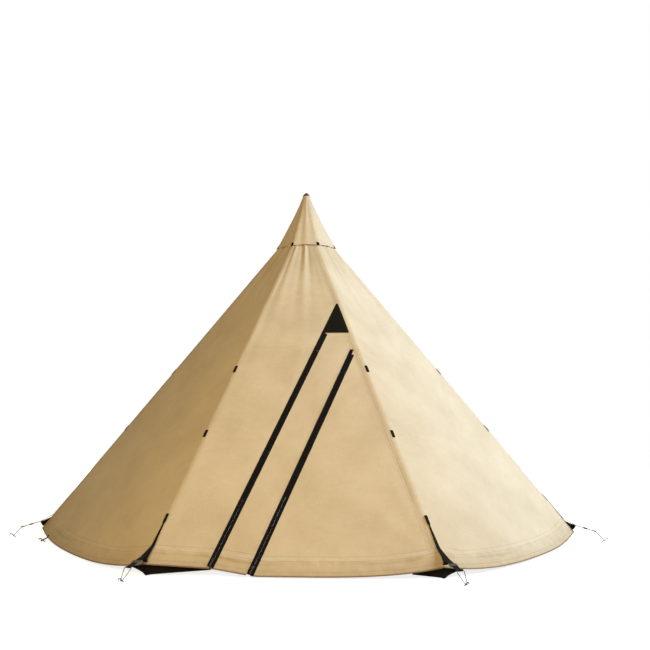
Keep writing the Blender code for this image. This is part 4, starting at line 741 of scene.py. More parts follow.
# Pieces
def side_canvas_mesh(name, side):
    """A side's cloth as one layer: its lap over the next side and its folds included."""
    settings = canvas_settings()
    even_reach, row_crowding, lap_edge = 0.86, 1.12, 0.004
    near = SEAM_JOGGLE / 3.0
    # Places across the cloth: side, share across it, distance in from there, lift
    stations = []
    if side == 1:
        stations += [(0, 1.0, -DOOR_MARGIN, 0.0), (0, 1.0, -DOOR_MARGIN * 0.6, LAP_LIFT * 0.5),
                     (0, 1.0, -SEAM_JOGGLE, LAP_LIFT), (0, 1.0, -near, LAP_LIFT),
                     (1, -1.0, 0.0, LAP_LIFT), (1, -1.0, near, LAP_LIFT),
                     (1, -1.0, SEAM_JOGGLE, 0.0)]
    else:
        stations.append((side, -1.0, EDGE_GAP, 0.0))
    stations += [(side, even_reach * (2.0 * step / settings.columns - 1.0), 0.0, 0.0)
                 for step in range(settings.columns + 1)]
    stations += [(side, 1.0, -SEAM_JOGGLE, 0.0), (side, 1.0, -near, LAP_LIFT),
                 (side, 1.0, 0.0, LAP_LIFT), (side + 1, -1.0, SEAM_LAP * 0.5, LAP_LIFT),
                 (side + 1, -1.0, SEAM_LAP, LAP_LIFT)]
    points, cloth, from_seam, from_hem = [], [], [], []
    for row in range(settings.rows):
        share = (row / (settings.rows - 1)) ** row_crowding
        for station_side, place, inset, lift in stations:
            at_hem = place + inset / HALF_CHORD
            start = rise_at(station_side, at_hem, hem_height(at_hem))
            rise = start + (CROWN_SHARE - start) * share
            width = HALF_CHORD * (1.0 - rise)
            across = place + inset / width
            # The laps are sewn flat, and the cloth between them is free to fold
            free = inset == 0.0 and abs(place) < 1.0
            stand = relief(station_side, across, rise) if free else 0.0
            stand += ridge_round(width * (1.0 - abs(across)))
            points.append(side_point(station_side, across, rise, lift + stand))
            x = across * width + (station_side - side) * 2.0 * width
            up = (rise - start) * SLANT
            cloth.append((x, up))
            from_hem.append(up)
            if x > 0.0:
                from_seam.append(max(0.0, width + SEAM_LAP - x))
            elif side == 1:
                from_seam.append(x + width + DOOR_MARGIN)
            else:
                from_seam.append(lap_edge + max(0.0, x + width))
    values = {"from_seam": from_seam, "from_hem": from_hem}
    return new_mesh(name, points, grid_faces(len(stations), settings.rows), values, cloth)


class TENT_OT_side_canvas(bpy.types.Operator):
    """Make the six sides of canvas beside the door side."""
    bl_idname = "tent.side_canvas"
    bl_label = "Side Canvas"

    def execute(self, context):
        for side in range(1, SIDE_COUNT):
            mesh = side_canvas_mesh("side_canvas_{}".format(side), side)
            piece = new_piece(mesh.name, mesh, woven_proofed_canvas())
            finish_sheet(piece, "side_panel_{}".format(side),
                         canvas_settings().thickness)
        return {"FINISHED"}


def door_plane_point(x, y, stand=0.0):
    """Point in the plane of the door side, stood off it."""
    return Vector((x, -APOTHEM + y * math.cos(SLOPE) - stand * math.sin(SLOPE),
                   CORNER_HEIGHT + y * math.sin(SLOPE) + stand * math.cos(SLOPE)))


def door_cloth(name, left, right, top, columns, rows, upper=None):
    """A piece of the door side between two lines, from the hem to a height.

    upper, if given, is (line of its right edge, height, columns): the part over the door's head.
    """
    upper_rows = 30
    points, cloth, from_seam, from_hem = [], [], [], []
    left_hem, right_hem = hem_y(left(0.0)), hem_y(right(0.0))

    def add(x, y, low, edge):
        across = max(-1.0, min(1.0, x / half_width(y)))
        stand = relief(0, across, y / SLANT) + ridge_round(half_width(y) - abs(x))
        points.append(door_plane_point(x, y, stand))
        cloth.append((x, y - low))
        from_hem.append(y - low)
        from_seam.append(edge)

    for row in range(rows):
        share = row / (rows - 1)
        for column in range(columns):
            at = column / (columns - 1)
            x = left(left_hem) + (right(right_hem) - left(left_hem)) * at
            low = hem_y(x)
            y = low + (top - low) * share
            x = left(y) + (right(y) - left(y)) * at
            add(x, y, low, min(x - left(y), right(y) - x))
    faces = grid_faces(columns, rows)
    if upper:
        line, height, more = upper
        split = (right(top) - left(top)) / (line(top) - left(top))
        base = (rows - 1) * columns
        lower_row = list(range(base, base + columns))
        for step in range(more):
            x = right(top) + (line(top) - right(top)) * (step + 1) / more
            add(x, top, HEM_LINE, min(x - left(top), line(top) - x))
            lower_row.append(len(points) - 1)
        for row in range(1, upper_rows):
            y = top + (height - top) * row / (upper_rows - 1)
            this_row = []
            for column in range(columns + more):
                at = (split * column / (columns - 1) if column < columns
                      else split + (1.0 - split) * (column - columns + 1) / more)
                x = left(y) + (line(y) - left(y)) * at
                add(x, y, HEM_LINE, min(x - left(y), line(y) - x))
                this_row.append(len(points) - 1)
            for column in range(columns + more - 1):
                faces.append((lower_row[column], lower_row[column + 1], this_row[column + 1],
                              this_row[column]))
            lower_row = this_row
    values = {"from_seam": from_seam, "from_hem": from_hem}
    return new_mesh(name, points, faces, values, cloth)


class TENT_OT_door_side(bpy.types.Operator):
    """Make the fixed canvas of the door side, the strip between the zips and the door leaf."""
    bl_idname = "tent.door_side"
    bl_label = "Door Side"

    def execute(self, context):
        rows, leaf_point_gap, spare_width = 72, 0.004, 1.01
        strip_gap = DOOR_GAP / 2.0 / math.cos(ZIP_LEAN)
        leaf_point = meeting_y(zip_edge(RIGHT_ZIP_FOOT, 1.0, 0.0), DOOR_MARGIN + DOOR_GAP)
        fixed = door_cloth("door_side_canvas", lambda y: EDGE_GAP - half_width(y),
                           lambda y: zip_edge(LEFT_ZIP_FOOT, -1.0, y), DOOR_HEAD,
                           columns=26, rows=rows,
                           upper=(lambda y: fold_x(y) - DOOR_GAP, CROWN_Y, 14))
        strip = door_cloth("door_strip_canvas", lambda y: zip_edge(LEFT_ZIP_FOOT, 1.0, y),
                           lambda y: strip_fold_x(y) - strip_gap, DOOR_HEAD - DOOR_GAP,
                           columns=12, rows=rows)
        leaf = door_cloth("door_leaf_canvas", lambda y: zip_edge(RIGHT_ZIP_FOOT, 1.0, y),
                          lambda y: fold_x(y) - DOOR_GAP, leaf_point - leaf_point_gap,
                          columns=30, rows=rows)
        for mesh, body, node, wide, long, rests_on in (
                (fixed, "tent", "front_panel", 1.50, SLANT, ["crown_webbing", "corner_strap_6"]),
                (strip, "strip", "door_strip", 0.42, 2.25, ["zip_left_door_half"]),
                (leaf, "leaf", "door_leaf", 1.31, 2.10, ["zip_right_leaf_half"])):
            piece = new_piece(mesh.name, mesh, woven_proofed_canvas(), body)
            wide = max(wide, sheet_area(mesh) / long * spare_width)
            finish_sheet(piece, node,
                         canvas_settings().thickness)
        return {"FINISHED"}


def zip_half_mesh(name, foot, side, low, high, extra_top=0.0):
    """Half a zip: the woven tape with a rounded outer edge, and the coil with its turns."""
    settings = trim_settings()
    length = (high - low) / math.cos(ZIP_LEAN)
    door_side = axes_at(Vector((1.0, 0.0, 0.0)), Vector((0.0, math.cos(SLOPE), math.sin(SLOPE))),
                        Vector((0.0, -math.sin(SLOPE), math.cos(SLOPE))),
                        Vector((0.0, -APOTHEM, CORNER_HEIGHT)))
    place = (door_side @ Matrix.Translation((zip_x(foot, low), low, 0.0))
             @ Matrix.Rotation(-ZIP_LEAN, 4, "Z"))
    outer = ZIP_WIDTH / 2.0
    tape_low, tape_edge, tape_top, tape_bead, head_top = 0.0004, 0.0010, 0.0012, 0.0016, 0.0015
    # Cross-section from the coil's edge out, over the tape and back under it
    section = [(0.0004, tape_low), (0.0004, 0.0014), (0.0060, 0.0015), (0.0066, tape_top),
               (outer - 0.0070, tape_top), (outer - 0.0064, tape_bead),
               (outer - 0.0010, tape_bead), (outer, tape_edge), (outer, tape_low)]
    count, rows = len(section), 120
    points, cloth = [], []
    for row in range(rows):
        y = length * row / (rows - 1)
        for x, z in section:
            points.append(place @ Vector((side * x, y, z)))
            cloth.append((x, y))
    meshes = [new_mesh(name, points, swept_faces(count, rows), None, cloth)]
    if extra_top > 0.0:
        base, head = length + DOOR_GAP, length + extra_top
        lean = outer * math.tan(ZIP_LEAN)
        flat = [(-outer, base), (outer, base), (outer, head + lean), (-outer, head - lean)]
        points = [place @ Vector((side * x, y, z)) for z in (tape_low, head_top) for x, y in flat]
        faces = [(0, 1, 2, 3), (4, 5, 6, 7), (0, 1, 5, 4), (1, 2, 6, 5), (2, 3, 7, 6),
                 (3, 0, 4, 7)]
        meshes.append(new_mesh(name + "_head", points, faces, None, flat * 2))

    # The coil, thicker and thinner by turns
    thick, thin, from_middle, height, end_gap = 0.0019, 0.0014, 0.0024, 0.0028, 0.002
    rings = int((length - 2.0 * end_gap) / settings.coil_pitch) * 2 + 1
    ring = 8
    points, cloth = [], []
    for turn in range(rings):
        y = end_gap + turn * settings.coil_pitch / 2.0
        radius = thick if turn % 2 else thin
        for step in range(ring):
            angle = TURN * (step + 0.5) / ring
            points.append(place @ Vector((side * (from_middle + radius * math.cos(angle)), y,
                                          height + radius * math.sin(angle))))
            cloth.append((radius * angle, y))
    meshes.append(new_mesh(name + "_coil", points, swept_faces(ring, rings), None, cloth))
    return edit_mesh(join_meshes(name, meshes),
                     lambda shape: bmesh.ops.recalc_face_normals(shape, faces=shape.faces))


class TENT_OT_zips(bpy.types.Operator):
    """Make the tapes and coils of both zips."""
    bl_idname = "tent.zips"
    bl_label = "Zips"

    def execute(self, context):
        end_lean = ZIP_WIDTH / 2.0 * math.sin(ZIP_LEAN)
        head = DOOR_HEAD - DOOR_GAP - end_lean
        door_half_gap = 0.0022
        left_top = (PATCH_BASE - DOOR_GAP - head) / math.cos(ZIP_LEAN)
        right_head = meeting_y(RIGHT_ZIP_FOOT + ZIP_WIDTH / 2.0 / math.cos(ZIP_LEAN),
                               DOOR_MARGIN + DOOR_GAP) - end_lean
        for node, body, foot, side, high, extra in (
                ("zip_left_panel_half", "tent", LEFT_ZIP_FOOT, -1.0, head, left_top),
                ("zip_left_door_half", "strip", LEFT_ZIP_FOOT, 1.0, head - door_half_gap, 0.0),
                ("zip_right_strip_half", "leaf", RIGHT_ZIP_FOOT, -1.0, head, 0.0),
                ("zip_right_leaf_half", "leaf", RIGHT_ZIP_FOOT, 1.0, right_head, 0.0)):
            name = node.replace("_half", "_tape")
            mesh = zip_half_mesh(name, foot, side, zip_low(foot), high, extra)
            piece = new_piece(name, mesh, woven_zip_tape(), body)
            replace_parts(piece, node)
        return {"FINISHED"}


def rounded_triangle(corners, radius, corner_steps, edge_steps):
    """Outline of a triangle with round corners, evenly divided between them."""
    clear_start, clear_end = radius * 3.0, radius * 4.0
    outline = []
    for index, point in enumerate(corners):
        following = corners[(index + 1) % 3]
        before = (corners[index - 1] - point).normalized()
        after = (following - point).normalized()
        opening = before.angle(after)
        centre = point + (before + after).normalized() * radius / math.sin(opening / 2.0)
        start = point + before * radius / math.tan(opening / 2.0) - centre
        for step in range(corner_steps + 1):
            turn = Matrix.Rotation((math.pi - opening) * step / corner_steps, 2)
            outline.append(centre + turn @ start)
        length = (following - point).length
        for step in range(1, edge_steps):
            if clear_start < length * step / edge_steps < length - clear_end:
                outline.append(point.lerp(following, step / edge_steps))
    return outline


class TENT_OT_head_patch(bpy.types.Operator):
    """Make the plain triangle patch over the door."""
    bl_idname = "tent.head_patch"
    bl_label = "Head Patch"

    def execute(self, context):
        outline = rounded_triangle(PATCH_CORNERS, radius=0.010, corner_steps=5, edge_steps=16)
        middle = sum(outline, Vector((0.0, 0.0))) / len(outline)
        count, rings, ring_crowding, depth_share = len(outline), 9, 1.6, 0.55
        # The sheet is puffed up a little, and the stitches pull it down by its edge
        stand, puff, puff_width = 0.0012, 0.0006, 0.03
        stitch_at, stitch_width = 0.006, 0.0022
        edge_stand, middle_depth = 0.0003, 0.1
        runs = [0.0]
        for before, point in zip(outline, outline[1:]):
            runs.append(runs[-1] + (point - before).length)
        points, cloth, from_edge, along_edge = [], [], [], []
        for ring in range(rings):
            share = (ring / rings) ** ring_crowding
            for point, run in zip(outline, runs):
                place = point.lerp(middle, share)
                depth = (point - middle).length * share * depth_share
                height = puff * grow(depth, 0.0, puff_width) + stand
                height -= puff * math.exp(-((depth - stitch_at) / stitch_width) ** 2)
                points.append(door_plane_point(place.x, place.y, height if ring else edge_stand))
                cloth.append((place.x, place.y))
                from_edge.append(depth)
                along_edge.append(run)
        points.append(door_plane_point(middle.x, middle.y, stand + puff))
        cloth.append((middle.x, middle.y))
        from_edge.append(middle_depth)
        along_edge.append(0.0)
        last = (rings - 1) * count
        faces = grid_faces(count, rings, closed=True)
        faces += [(last + i, last + (i + 1) % count, rings * count) for i in range(count)]
        values = {"from_seam": from_edge, "along_edge": along_edge}
        mesh = new_mesh("door_head_triangle", points, faces, values, cloth)
        piece = new_piece(mesh.name, mesh, coated_patch_cloth(), "tent")
        finish_sheet(piece, "door_head_patch",
                     thickness=0.0009, offset=1.0)
        return {"FINISHED"}


def from_gore_middle(angle):
    return (angle + SIDE_ANGLE / 2.0) % SIDE_ANGLE - SIDE_ANGLE / 2.0


def cap_point(angle, share, lift=0.0):
    """(point of the cap's cloth, way to the nearest gore seam), share running down to the rim."""
    settings = trim_settings()
    facet_share, flare = 0.90, 1.15
    fold_flare, fold_wander, fold_part, crease_part = 0.7, 0.6, 0.55, 0.8
    pinch_depth, pinch_width = 0.0012, 0.006
    roll_depth, roll_from, roll_blend = 0.0012, 0.955, 0.02
    wave_from, wave_blend, gore_wave, broad_wave, broad_turn = 0.6, 0.4, 0.4, 0.6, 0.5
    from_middle = from_gore_middle(angle)
    flat = math.cos(SIDE_ANGLE / 2.0) / math.cos(from_middle)
    facet = facet_share * share
    # Two folds to a gore, which wander round the cap, and uneven creases between them
    fold = math.cos(2.0 * SIDE_COUNT * angle + fold_wander * math.sin(3.0 * angle))
    crease = math.cos(5.0 * angle + 1.3) * 0.6 + math.cos(11.0 * angle - share * 2.0) * 0.5
    folding = fold_part * fold + crease_part * crease
    depth = settings.cap_fold * max(0.0, share) ** fold_flare * folding
    seam_near = SIDE_ANGLE / 2.0 - abs(from_middle)
    pinch = pinch_depth * math.exp(-(seam_near * CAP_RIM_RADIUS * share / pinch_width) ** 2)
    roll = roll_depth * grow(share, roll_from, roll_blend)
    spread = CAP_TOP_RADIUS + (CAP_RIM_RADIUS - CAP_TOP_RADIUS) * share ** flare
    radius = spread * (1.0 - facet + facet * flat) + depth - pinch + roll
    wave = settings.rim_wave * grow(share, wave_from, wave_blend)
    wave *= (math.cos(SIDE_COUNT * angle) * gore_wave
             + broad_wave * math.sin(2.0 * angle + broad_turn))
    point = outward(angle) * (radius + lift)
    point.z = CAP_TOP_HEIGHT + (CAP_RIM_HEIGHT - CAP_TOP_HEIGHT) * share + wave
    return point, seam_near * radius


class TENT_OT_vent_cap(bpy.types.Operator):
    """Make the gored cap over the smoke vent, and the webbing tabs on its rim."""
    bl_idname = "tent.vent_cap"
    bl_label = "Vent Cap"

    def execute(self, context):
        # The cap's distances from the hem start 0.2 m up, so the painted shade and soil low on the
        # canvas mostly stay off it
        columns, rows, above_soil_and_shade = SIDE_COUNT * 20, 46, 0.2
        points, cloth, from_seam, from_hem = [], [], [], []
        for row in range(rows):
            share = 1.0 - row / (rows - 1)
            up = CAP_SLANT * (1.0 - share)
            for column in range(columns):
                angle = TURN * column / columns
                point, near = cap_point(angle, share)
                points.append(point)
                cloth.append((from_gore_middle(angle) * point.xy.length, up))
                from_hem.append(up + above_soil_and_shade)
                from_seam.append(near)
        values = {"from_seam": from_seam, "from_hem": from_hem}
        faces = grid_faces(columns, rows, closed=True)
        mesh = new_mesh("vent_cap_canvas", points, faces, values, cloth)
        piece = new_piece(mesh.name, mesh, woven_proofed_canvas(), "cap")
        finish_sheet(piece, "vent_cap",
                     canvas_settings().thickness)

        # Tabs of webbing over the rim, one on each gore seam
        columns, rows = 5, 8
        width, tab_radius, below_rim, tab_share, lift = 0.026, 0.28, 1.010, 0.062, 0.0021
        meshes = []
        for seam in range(SIDE_COUNT):
            points, cloth = [], []
            for row in range(rows):
                share = below_rim - tab_share * row / (rows - 1)
                for column in range(columns):
                    x = width * (column / (columns - 1) - 0.5)
                    angle = (seam + 0.5) * SIDE_ANGLE + x / tab_radius
                    points.append(cap_point(angle, share, lift)[0])
                    cloth.append((x, share * CAP_SLANT))
            meshes.append(new_mesh("tab", points, grid_faces(columns, rows), None, cloth))
        thicken(new_webbing("cap_rim_tabs", meshes, "cap"), thickness=0.0016)
        return {"FINISHED"}


class TENT_OT_ground_skirt(bpy.types.Operator):
    """Make the skirt behind the hem, loose along its lower edge."""
    bl_idname = "tent.ground_skirt"
    bl_label = "Ground Skirt"

    def execute(self, context):
        height = canvas_settings().skirt_height
        spacing, rows, return_length, round_corner = 0.035, 9, 0.220, 0.2
        tuck_gap, ground_gap, right_rise, left_rise = 0.006, 0.0060, 0.018, 0.034
        behind_hem, spread = 0.0050, 0.045
        ripple, ripple_step, ripple_shift, ripple_row = 0.004, 0.23, 1.7, 0.5
        return_share = 1.0 - return_length / HALF_CHORD
        left_share = zip_edge(LEFT_ZIP_FOOT, -1.0, hem_y(LEFT_ZIP_FOOT)) / HALF_CHORD
        stations = []
        for side in range(SIDE_COUNT + 1):
            start = return_share if side == 0 else -1.0
            end = left_share if side == SIDE_COUNT else 1.0
            steps = max(3, int((end - start) * HALF_CHORD / spacing))
            stations += [(side, start + (end - start) * step / steps) for step in range(steps)]
        stations.append((SIDE_COUNT, left_share))
        points, cloth = [], []
        for row in range(rows):
            share = row / (rows - 1)
            for index, (side, across) in enumerate(stations):
                # It hangs to the ground along the door side, is tucked up behind the hem
                # elsewhere, and turns up a little towards its free ends
                hanging = {0: 1.0, 1: 1.0 - (across + 1.0) / round_corner,
                           SIDE_COUNT - 1: 1.0 - (1.0 - across) / round_corner,
                           SIDE_COUNT: 1.0}.get(side, 0.0)
                hanging = max(0.0, min(1.0, hanging))
                tucked = hem_height(across) + tuck_gap
                free = {0: right_rise * (1.0 - across) / (1.0 - return_share),
                        SIDE_COUNT: left_rise * (across + 1.0) / (left_share + 1.0)}.get(side, 0.0)
                low = tucked + (ground_gap + free - tucked) * hanging
                wave = noise.noise(Vector((index * ripple_step, side * ripple_shift, ripple_row)))
                loose = (1.0 - share) ** 2
                behind = (behind_hem + spread * hanging * (1.0 - share)
                          + ripple * loose * (1.0 + wave))
                place_height = low + (height - low) * share + behind / NORMAL_RISE
                rise = rise_at(side, across, place_height)
                stand = relief(side, across, rise) * (1.0 - loose)
                stand += ridge_round(HALF_CHORD * (1.0 - rise) * (1.0 - abs(across)))
                points.append(side_point(side, across, rise, min(0.0, stand) - behind))
                cloth.append((index * spacing, share * height))
        mesh = new_mesh("skirt_cloth", points, grid_faces(len(stations), rows), None, cloth)
        piece = new_piece(mesh.name, mesh, coated_skirt_cloth(), "tent")
        finish_sheet(piece, "ground_skirt",
                     thickness=0.0009)
        return {"FINISHED"}


def seam_plane_point(distance, lift):
    """(out, up) in a seam's upright plane, up the seam from the corner and off the ridge."""
    return Vector((CORNER_RADIUS - distance * math.cos(SEAM_SLOPE) + lift * math.sin(SEAM_SLOPE),
                   CORNER_HEIGHT + distance * math.sin(SEAM_SLOPE) + lift * math.cos(SEAM_SLOPE)))


def rounded_path(points, radius, steps=5, most=0.45):
    """A path with its inner corners rounded, over most of either run beside them."""
    path = [points[0]]
    for before, point, after in zip(points, points[1:], points[2:]):
        back = (before - point).normalized()
        on = (after - point).normalized()
        reach = min(radius, (before - point).length * most, (after - point).length * most)
        start, end = point + back * reach, point + on * reach
        for step in range(steps + 1):
            share = step / steps
            path.append(start.lerp(point, share).lerp(point.lerp(end, share), share))
    path.append(points[-1])
    return path


def spaced_path(points, spacing):
    """The same path with points no further apart than a spacing."""
    path = [points[0]]
    for point in points[1:]:
        gap = (point - path[-1]).length
        count = max(1, int(gap / spacing))
        start = path[-1].copy()
        path += [start.lerp(point, (step + 1) / count) for step in range(count)]
    return path


def band_mesh(name, path, width_at, thickness, turn):
    """Flat webbing along a path of (out, up) points in an upright plane turned about the pole.

    It has round selvedges, and width_at gives its width at a distance along it.
    """
    points, cloth = [], []
    lengths = [0.0]
    for before, point in zip(path, path[1:]):
        lengths.append(lengths[-1] + (point - before).length)
    half, under_shift = thickness / 2.0, 0.002
    # Round the webbing: shares of its half width and of its half thickness
    section = [(-1.0, 0.0), (-0.97, 0.75), (-0.90, 1.0), (0.0, 1.0), (0.90, 1.0), (0.97, 0.75),
               (1.0, 0.0), (0.97, -0.75), (0.90, -1.0), (0.0, -1.0), (-0.90, -1.0), (-0.97, -0.75)]
    for index, point in enumerate(path):
        before = path[max(0, index - 1)]
        after = path[min(len(path) - 1, index + 1)]
        run = (after - before).normalized()
        normal = Vector((-run.y, run.x))
        width = width_at(lengths[index]) / 2.0
        for side, height in section:
            out = point + normal * half * height
            points.append(turn @ Vector((out.x, side * width, out.y)))
            cloth.append((side * width, lengths[index] + (under_shift if height < 0 else 0.0)))
    return new_mesh(name, points, swept_faces(len(section), len(path)), None, cloth)


def seam_turn(seam):
    return Matrix.Rotation((seam + 0.5) * SIDE_ANGLE - math.pi / 2.0, 4, "Z")


RIDGE_LIFT = LAP_LIFT / NORMAL_RISE * math.cos(SEAM_SLOPE)
STRAP_SEAT = RIDGE_LIFT + LAY_GAP + STRAP_CORE / 2.0
STRAP_KNEE = Vector((CORNER_RADIUS + 0.014, CORNER_HEIGHT + 0.056))
STRAP_END = Vector((CORNER_RADIUS + 0.176, CORNER_HEIGHT + 0.012))
STRAP_RUN = (STRAP_END - STRAP_KNEE).normalized()


def gusset_mesh(name, leaves, foot, turn):
    """Thin web of cloth in the seam's plane that fills the wedge between ridge and strap."""
    half, below_ridge, inset, below_knee = 0.0008, 0.016, 0.0006, Vector((0.0006, 0.0022))
    under = Vector((math.sin(SEAM_SLOPE), math.cos(SEAM_SLOPE))) * below_ridge
    corners = [leaves - under, STRAP_KNEE - below_knee, foot - under]
    points = [turn @ Vector((point.x - inset, side, point.y - inset))
              for side in (-half, half) for point in corners]
    cloth = [(point.x, point.y) for point in corners] * 2
    faces = [(0, 2, 1), (3, 4, 5), (0, 1, 4, 3), (1, 2, 5, 4), (2, 0, 3, 5)]
    return new_mesh(name, points, faces, None, cloth)


class TENT_OT_corner_straps(bpy.types.Operator):
    """Make the webbing strap at each corner: sewn end, knee, eye round the link, short leg."""
    bl_idname = "tent.corner_straps"
    bl_label = "Corner Straps"

    def execute(self, context):
        thickness = trim_settings().webbing
        bend, spacing, leg_bend, leg_spacing = 0.012, 0.012, 0.008, 0.008
        wire_eye, eye_play, eye_steps, eye_turn = 0.0035, 0.0002, 10, math.radians(300.0)
        eye_lead, sewn_back = 0.016, (0.014, 0.034)
        sewn_width, swell, swell_blend = 0.014, 0.011, 0.012
        knee_swell, plain_from, knee_flare = 0.036, 0.07, 1.7
        knee_width, taper, taper_length = 0.050, 0.006, 0.16
        leg_width, leg_reach, foot_place = 0.044, 0.03, 0.020
        under_head, under_knee = Vector((0.0, 0.0022)), Vector((0.0014, 0.0030))
        eye = wire_eye + thickness / 2.0 + eye_play
        start = math.atan2(STRAP_RUN.y, STRAP_RUN.x)
        normal = Vector((-STRAP_RUN.y, STRAP_RUN.x))
        top = seam_plane_point(STRAP_TOP, STRAP_SEAT)
        sewn = seam_plane_point(STRAP_SEWN, STRAP_SEAT)
        leaves = seam_plane_point(STRAP_LEAVES, STRAP_SEAT)
        knee = STRAP_TOP - STRAP_LEAVES + (STRAP_KNEE - leaves).length
        lead = STRAP_END - STRAP_RUN * eye_lead
        path = rounded_path([top, sewn, leaves, STRAP_KNEE, lead], bend)
        for step in range(eye_steps + 1):
            angle = start + eye_turn / 2.0 - eye_turn * step / eye_steps
            path.append(STRAP_END + Vector((math.cos(angle), math.sin(angle))) * eye)
        for back in sewn_back:
            path.append(STRAP_END - STRAP_RUN * back - normal * (thickness + LAY_GAP))
        path = spaced_path(path, spacing)
        leg_foot = seam_plane_point(foot_place, STRAP_SEAT)
        leg_head = STRAP_KNEE - (STRAP_KNEE - leaves).normalized() * leg_reach - under_head
        leg = rounded_path([leg_head, STRAP_KNEE - under_knee, leg_foot], leg_bend)
        leg = spaced_path(leg, leg_spacing)

        def strap_width(along):
            if along < knee:
                sewn_length = STRAP_TOP - STRAP_SEWN
                sewn_end = swell * grow(sewn_length + swell_blend - along, 0.0, swell_blend)
                wider = max(0.0, (along - plain_from) / (knee - plain_from)) ** knee_flare
                return sewn_width + max(sewn_end, knee_swell * wider)
            return knee_width - taper * min(1.0, (along - knee) / taper_length)

        for seam in range(SIDE_COUNT):
            turn = seam_turn(seam)
            name = "corner_webbing_{}".format(seam)
            meshes = [band_mesh(name, path, strap_width, thickness, turn),
                      band_mesh(name + "_leg", leg, lambda along: leg_width, thickness, turn),
                      gusset_mesh(name + "_gusset", leaves, leg_foot, turn)]
            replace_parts(new_webbing(name, meshes), "corner_strap_{}".format(seam))
        return {"FINISHED"}


def ridge_frame(seam, distance, lift):
    """Place on a ridge: X across it, Y up the seam, Z straight out between the two sides."""
    out = outward((seam + 0.5) * SIDE_ANGLE)
    along = -out * math.cos(SEAM_SLOPE) + Vector((0.0, 0.0, math.sin(SEAM_SLOPE)))
    normal = out * math.sin(SEAM_SLOPE) + Vector((0.0, 0.0, math.cos(SEAM_SLOPE)))
    stand = lift / NORMAL_RISE * math.cos(SEAM_SLOPE)
    return axes_at(along.cross(normal), along, normal,
                   corner(seam) + along * distance + normal * stand)


class TENT_OT_seam_tabs(bpy.types.Operator):
    """Make the webbing tabs that are folded and sewn over the seams."""
    bl_idname = "tent.seam_tabs"
    bl_label = "Seam Tabs"

    def execute(self, context):
        settings = trim_settings()
        columns, rows = 9, 19
        low, rise, end_blend = 0.0008, 0.0016, 0.006
        loop_rise, loop_length, side_drop, round_share = 0.0016, 0.012, 0.30, 0.7
        seat = LAP_LIFT + ridge_round(0.0) * round_share
        meshes = []
        for seam in range(SIDE_COUNT):
            for distance in TAB_PLACES:
                place = ridge_frame(seam, distance, seat)
                points, cloth = [], []
                for row in range(rows):
                    y = settings.tab_length * (row / (rows - 1) - 0.5)
                    loop = loop_rise * math.exp(-(y / loop_length) ** 2)
                    end = grow(settings.tab_length / 2.0 - abs(y), 0.0, end_blend)
                    for column in range(columns):
                        x = settings.tab_width * (column / (columns - 1) - 0.5)
                        z = low + rise * end + loop - abs(x) * side_drop
                        points.append(place @ Vector((x, y, z)))
                        cloth.append((x, y))
                meshes.append(new_mesh("tab", points, grid_faces(columns, rows), None, cloth))
        piece = new_webbing("seam_tabs", meshes)
        thicken(piece, thickness=0.0016)
        round_edges(piece, width=0.0004, segments=1)
        return {"FINISHED"}


def side_frame(side, across, rise):
    """Place on a side: X along the hem, Y up the slope, Z out of the surface."""
    near = 0.0003
    level = (side_point(side, across + near, rise)
             - side_point(side, across - near, rise)).normalized()
    low = side_point(side, across, rise - near)
    up = (side_point(side, across, rise + near) - low).normalized()
    level = (level - up * level.dot(up)).normalized()
    return axes_at(level, up, level.cross(up), side_point(side, across, rise))


class TENT_OT_hem_loops(bpy.types.Operator):
    """Make the webbing peg loops on the hem: a doubled band with an eye for the peg."""
    bl_idname = "tent.hem_loops"
    bl_label = "Hem Loops"

    def execute(self, context):
        width, length, drop, flap = 0.028, 0.088, 0.063, math.radians(28.0)
        eye_half, eye_rim, eye_far, eye_low, eye_high = 0.0049, 0.0075, 0.0105, -0.056, -0.038
        fold, stand, over_hem = -0.0028, 0.0002, 0.0016
        pinch_share, pinch_from, pinch_blend = 0.16, 0.05, 0.013
        xs = [-width / 2.0, -eye_far, -eye_rim, -eye_half, 0.0, eye_half, eye_rim, eye_far,
              width / 2.0]
        ys = [-drop, -0.060, -0.058, eye_low, -0.047, eye_high, -0.030, -0.016, -0.006, fold,
              0.004, 0.014, length - drop]
        # The eye for the peg is left open on both sides of the middle column
        middle, wide = len(xs) // 2, len(xs) - 1
        faces = [face for number, face in enumerate(grid_faces(len(xs), len(ys)))
                 if not (number % wide in (middle - 1, middle)
                         and eye_low <= ys[number // wide] < eye_high)]
        meshes = []
        for side in LOOPED_SIDES:
            across = LOOP_PLACE if side <= SIDE_COUNT // 2 else -LOOP_PLACE
            place = side_frame(side, across, rise_at(side, across, hem_height(across)))
            points, cloth = [], []
            for y in ys:
                pinch = 1.0 - pinch_share * grow(-y, pinch_from, pinch_blend)
                for x in xs:
                    point = Vector((x * pinch, y, stand))
                    if y < fold:
                        along = y - fold
                        point.yz = fold + along * math.cos(flap), -along * math.sin(flap)
                    if y > fold:
                        point.z += over_hem
                    points.append(place @ point)
                    cloth.append((x, y))
            meshes.append(new_mesh("hem_loop", points, faces, None, cloth))
        piece = new_webbing("hem_peg_loops", meshes)
        thicken(piece, thickness=0.0022, offset=0.0)
        round_edges(piece, width=0.0006)
        return {"FINISHED"}


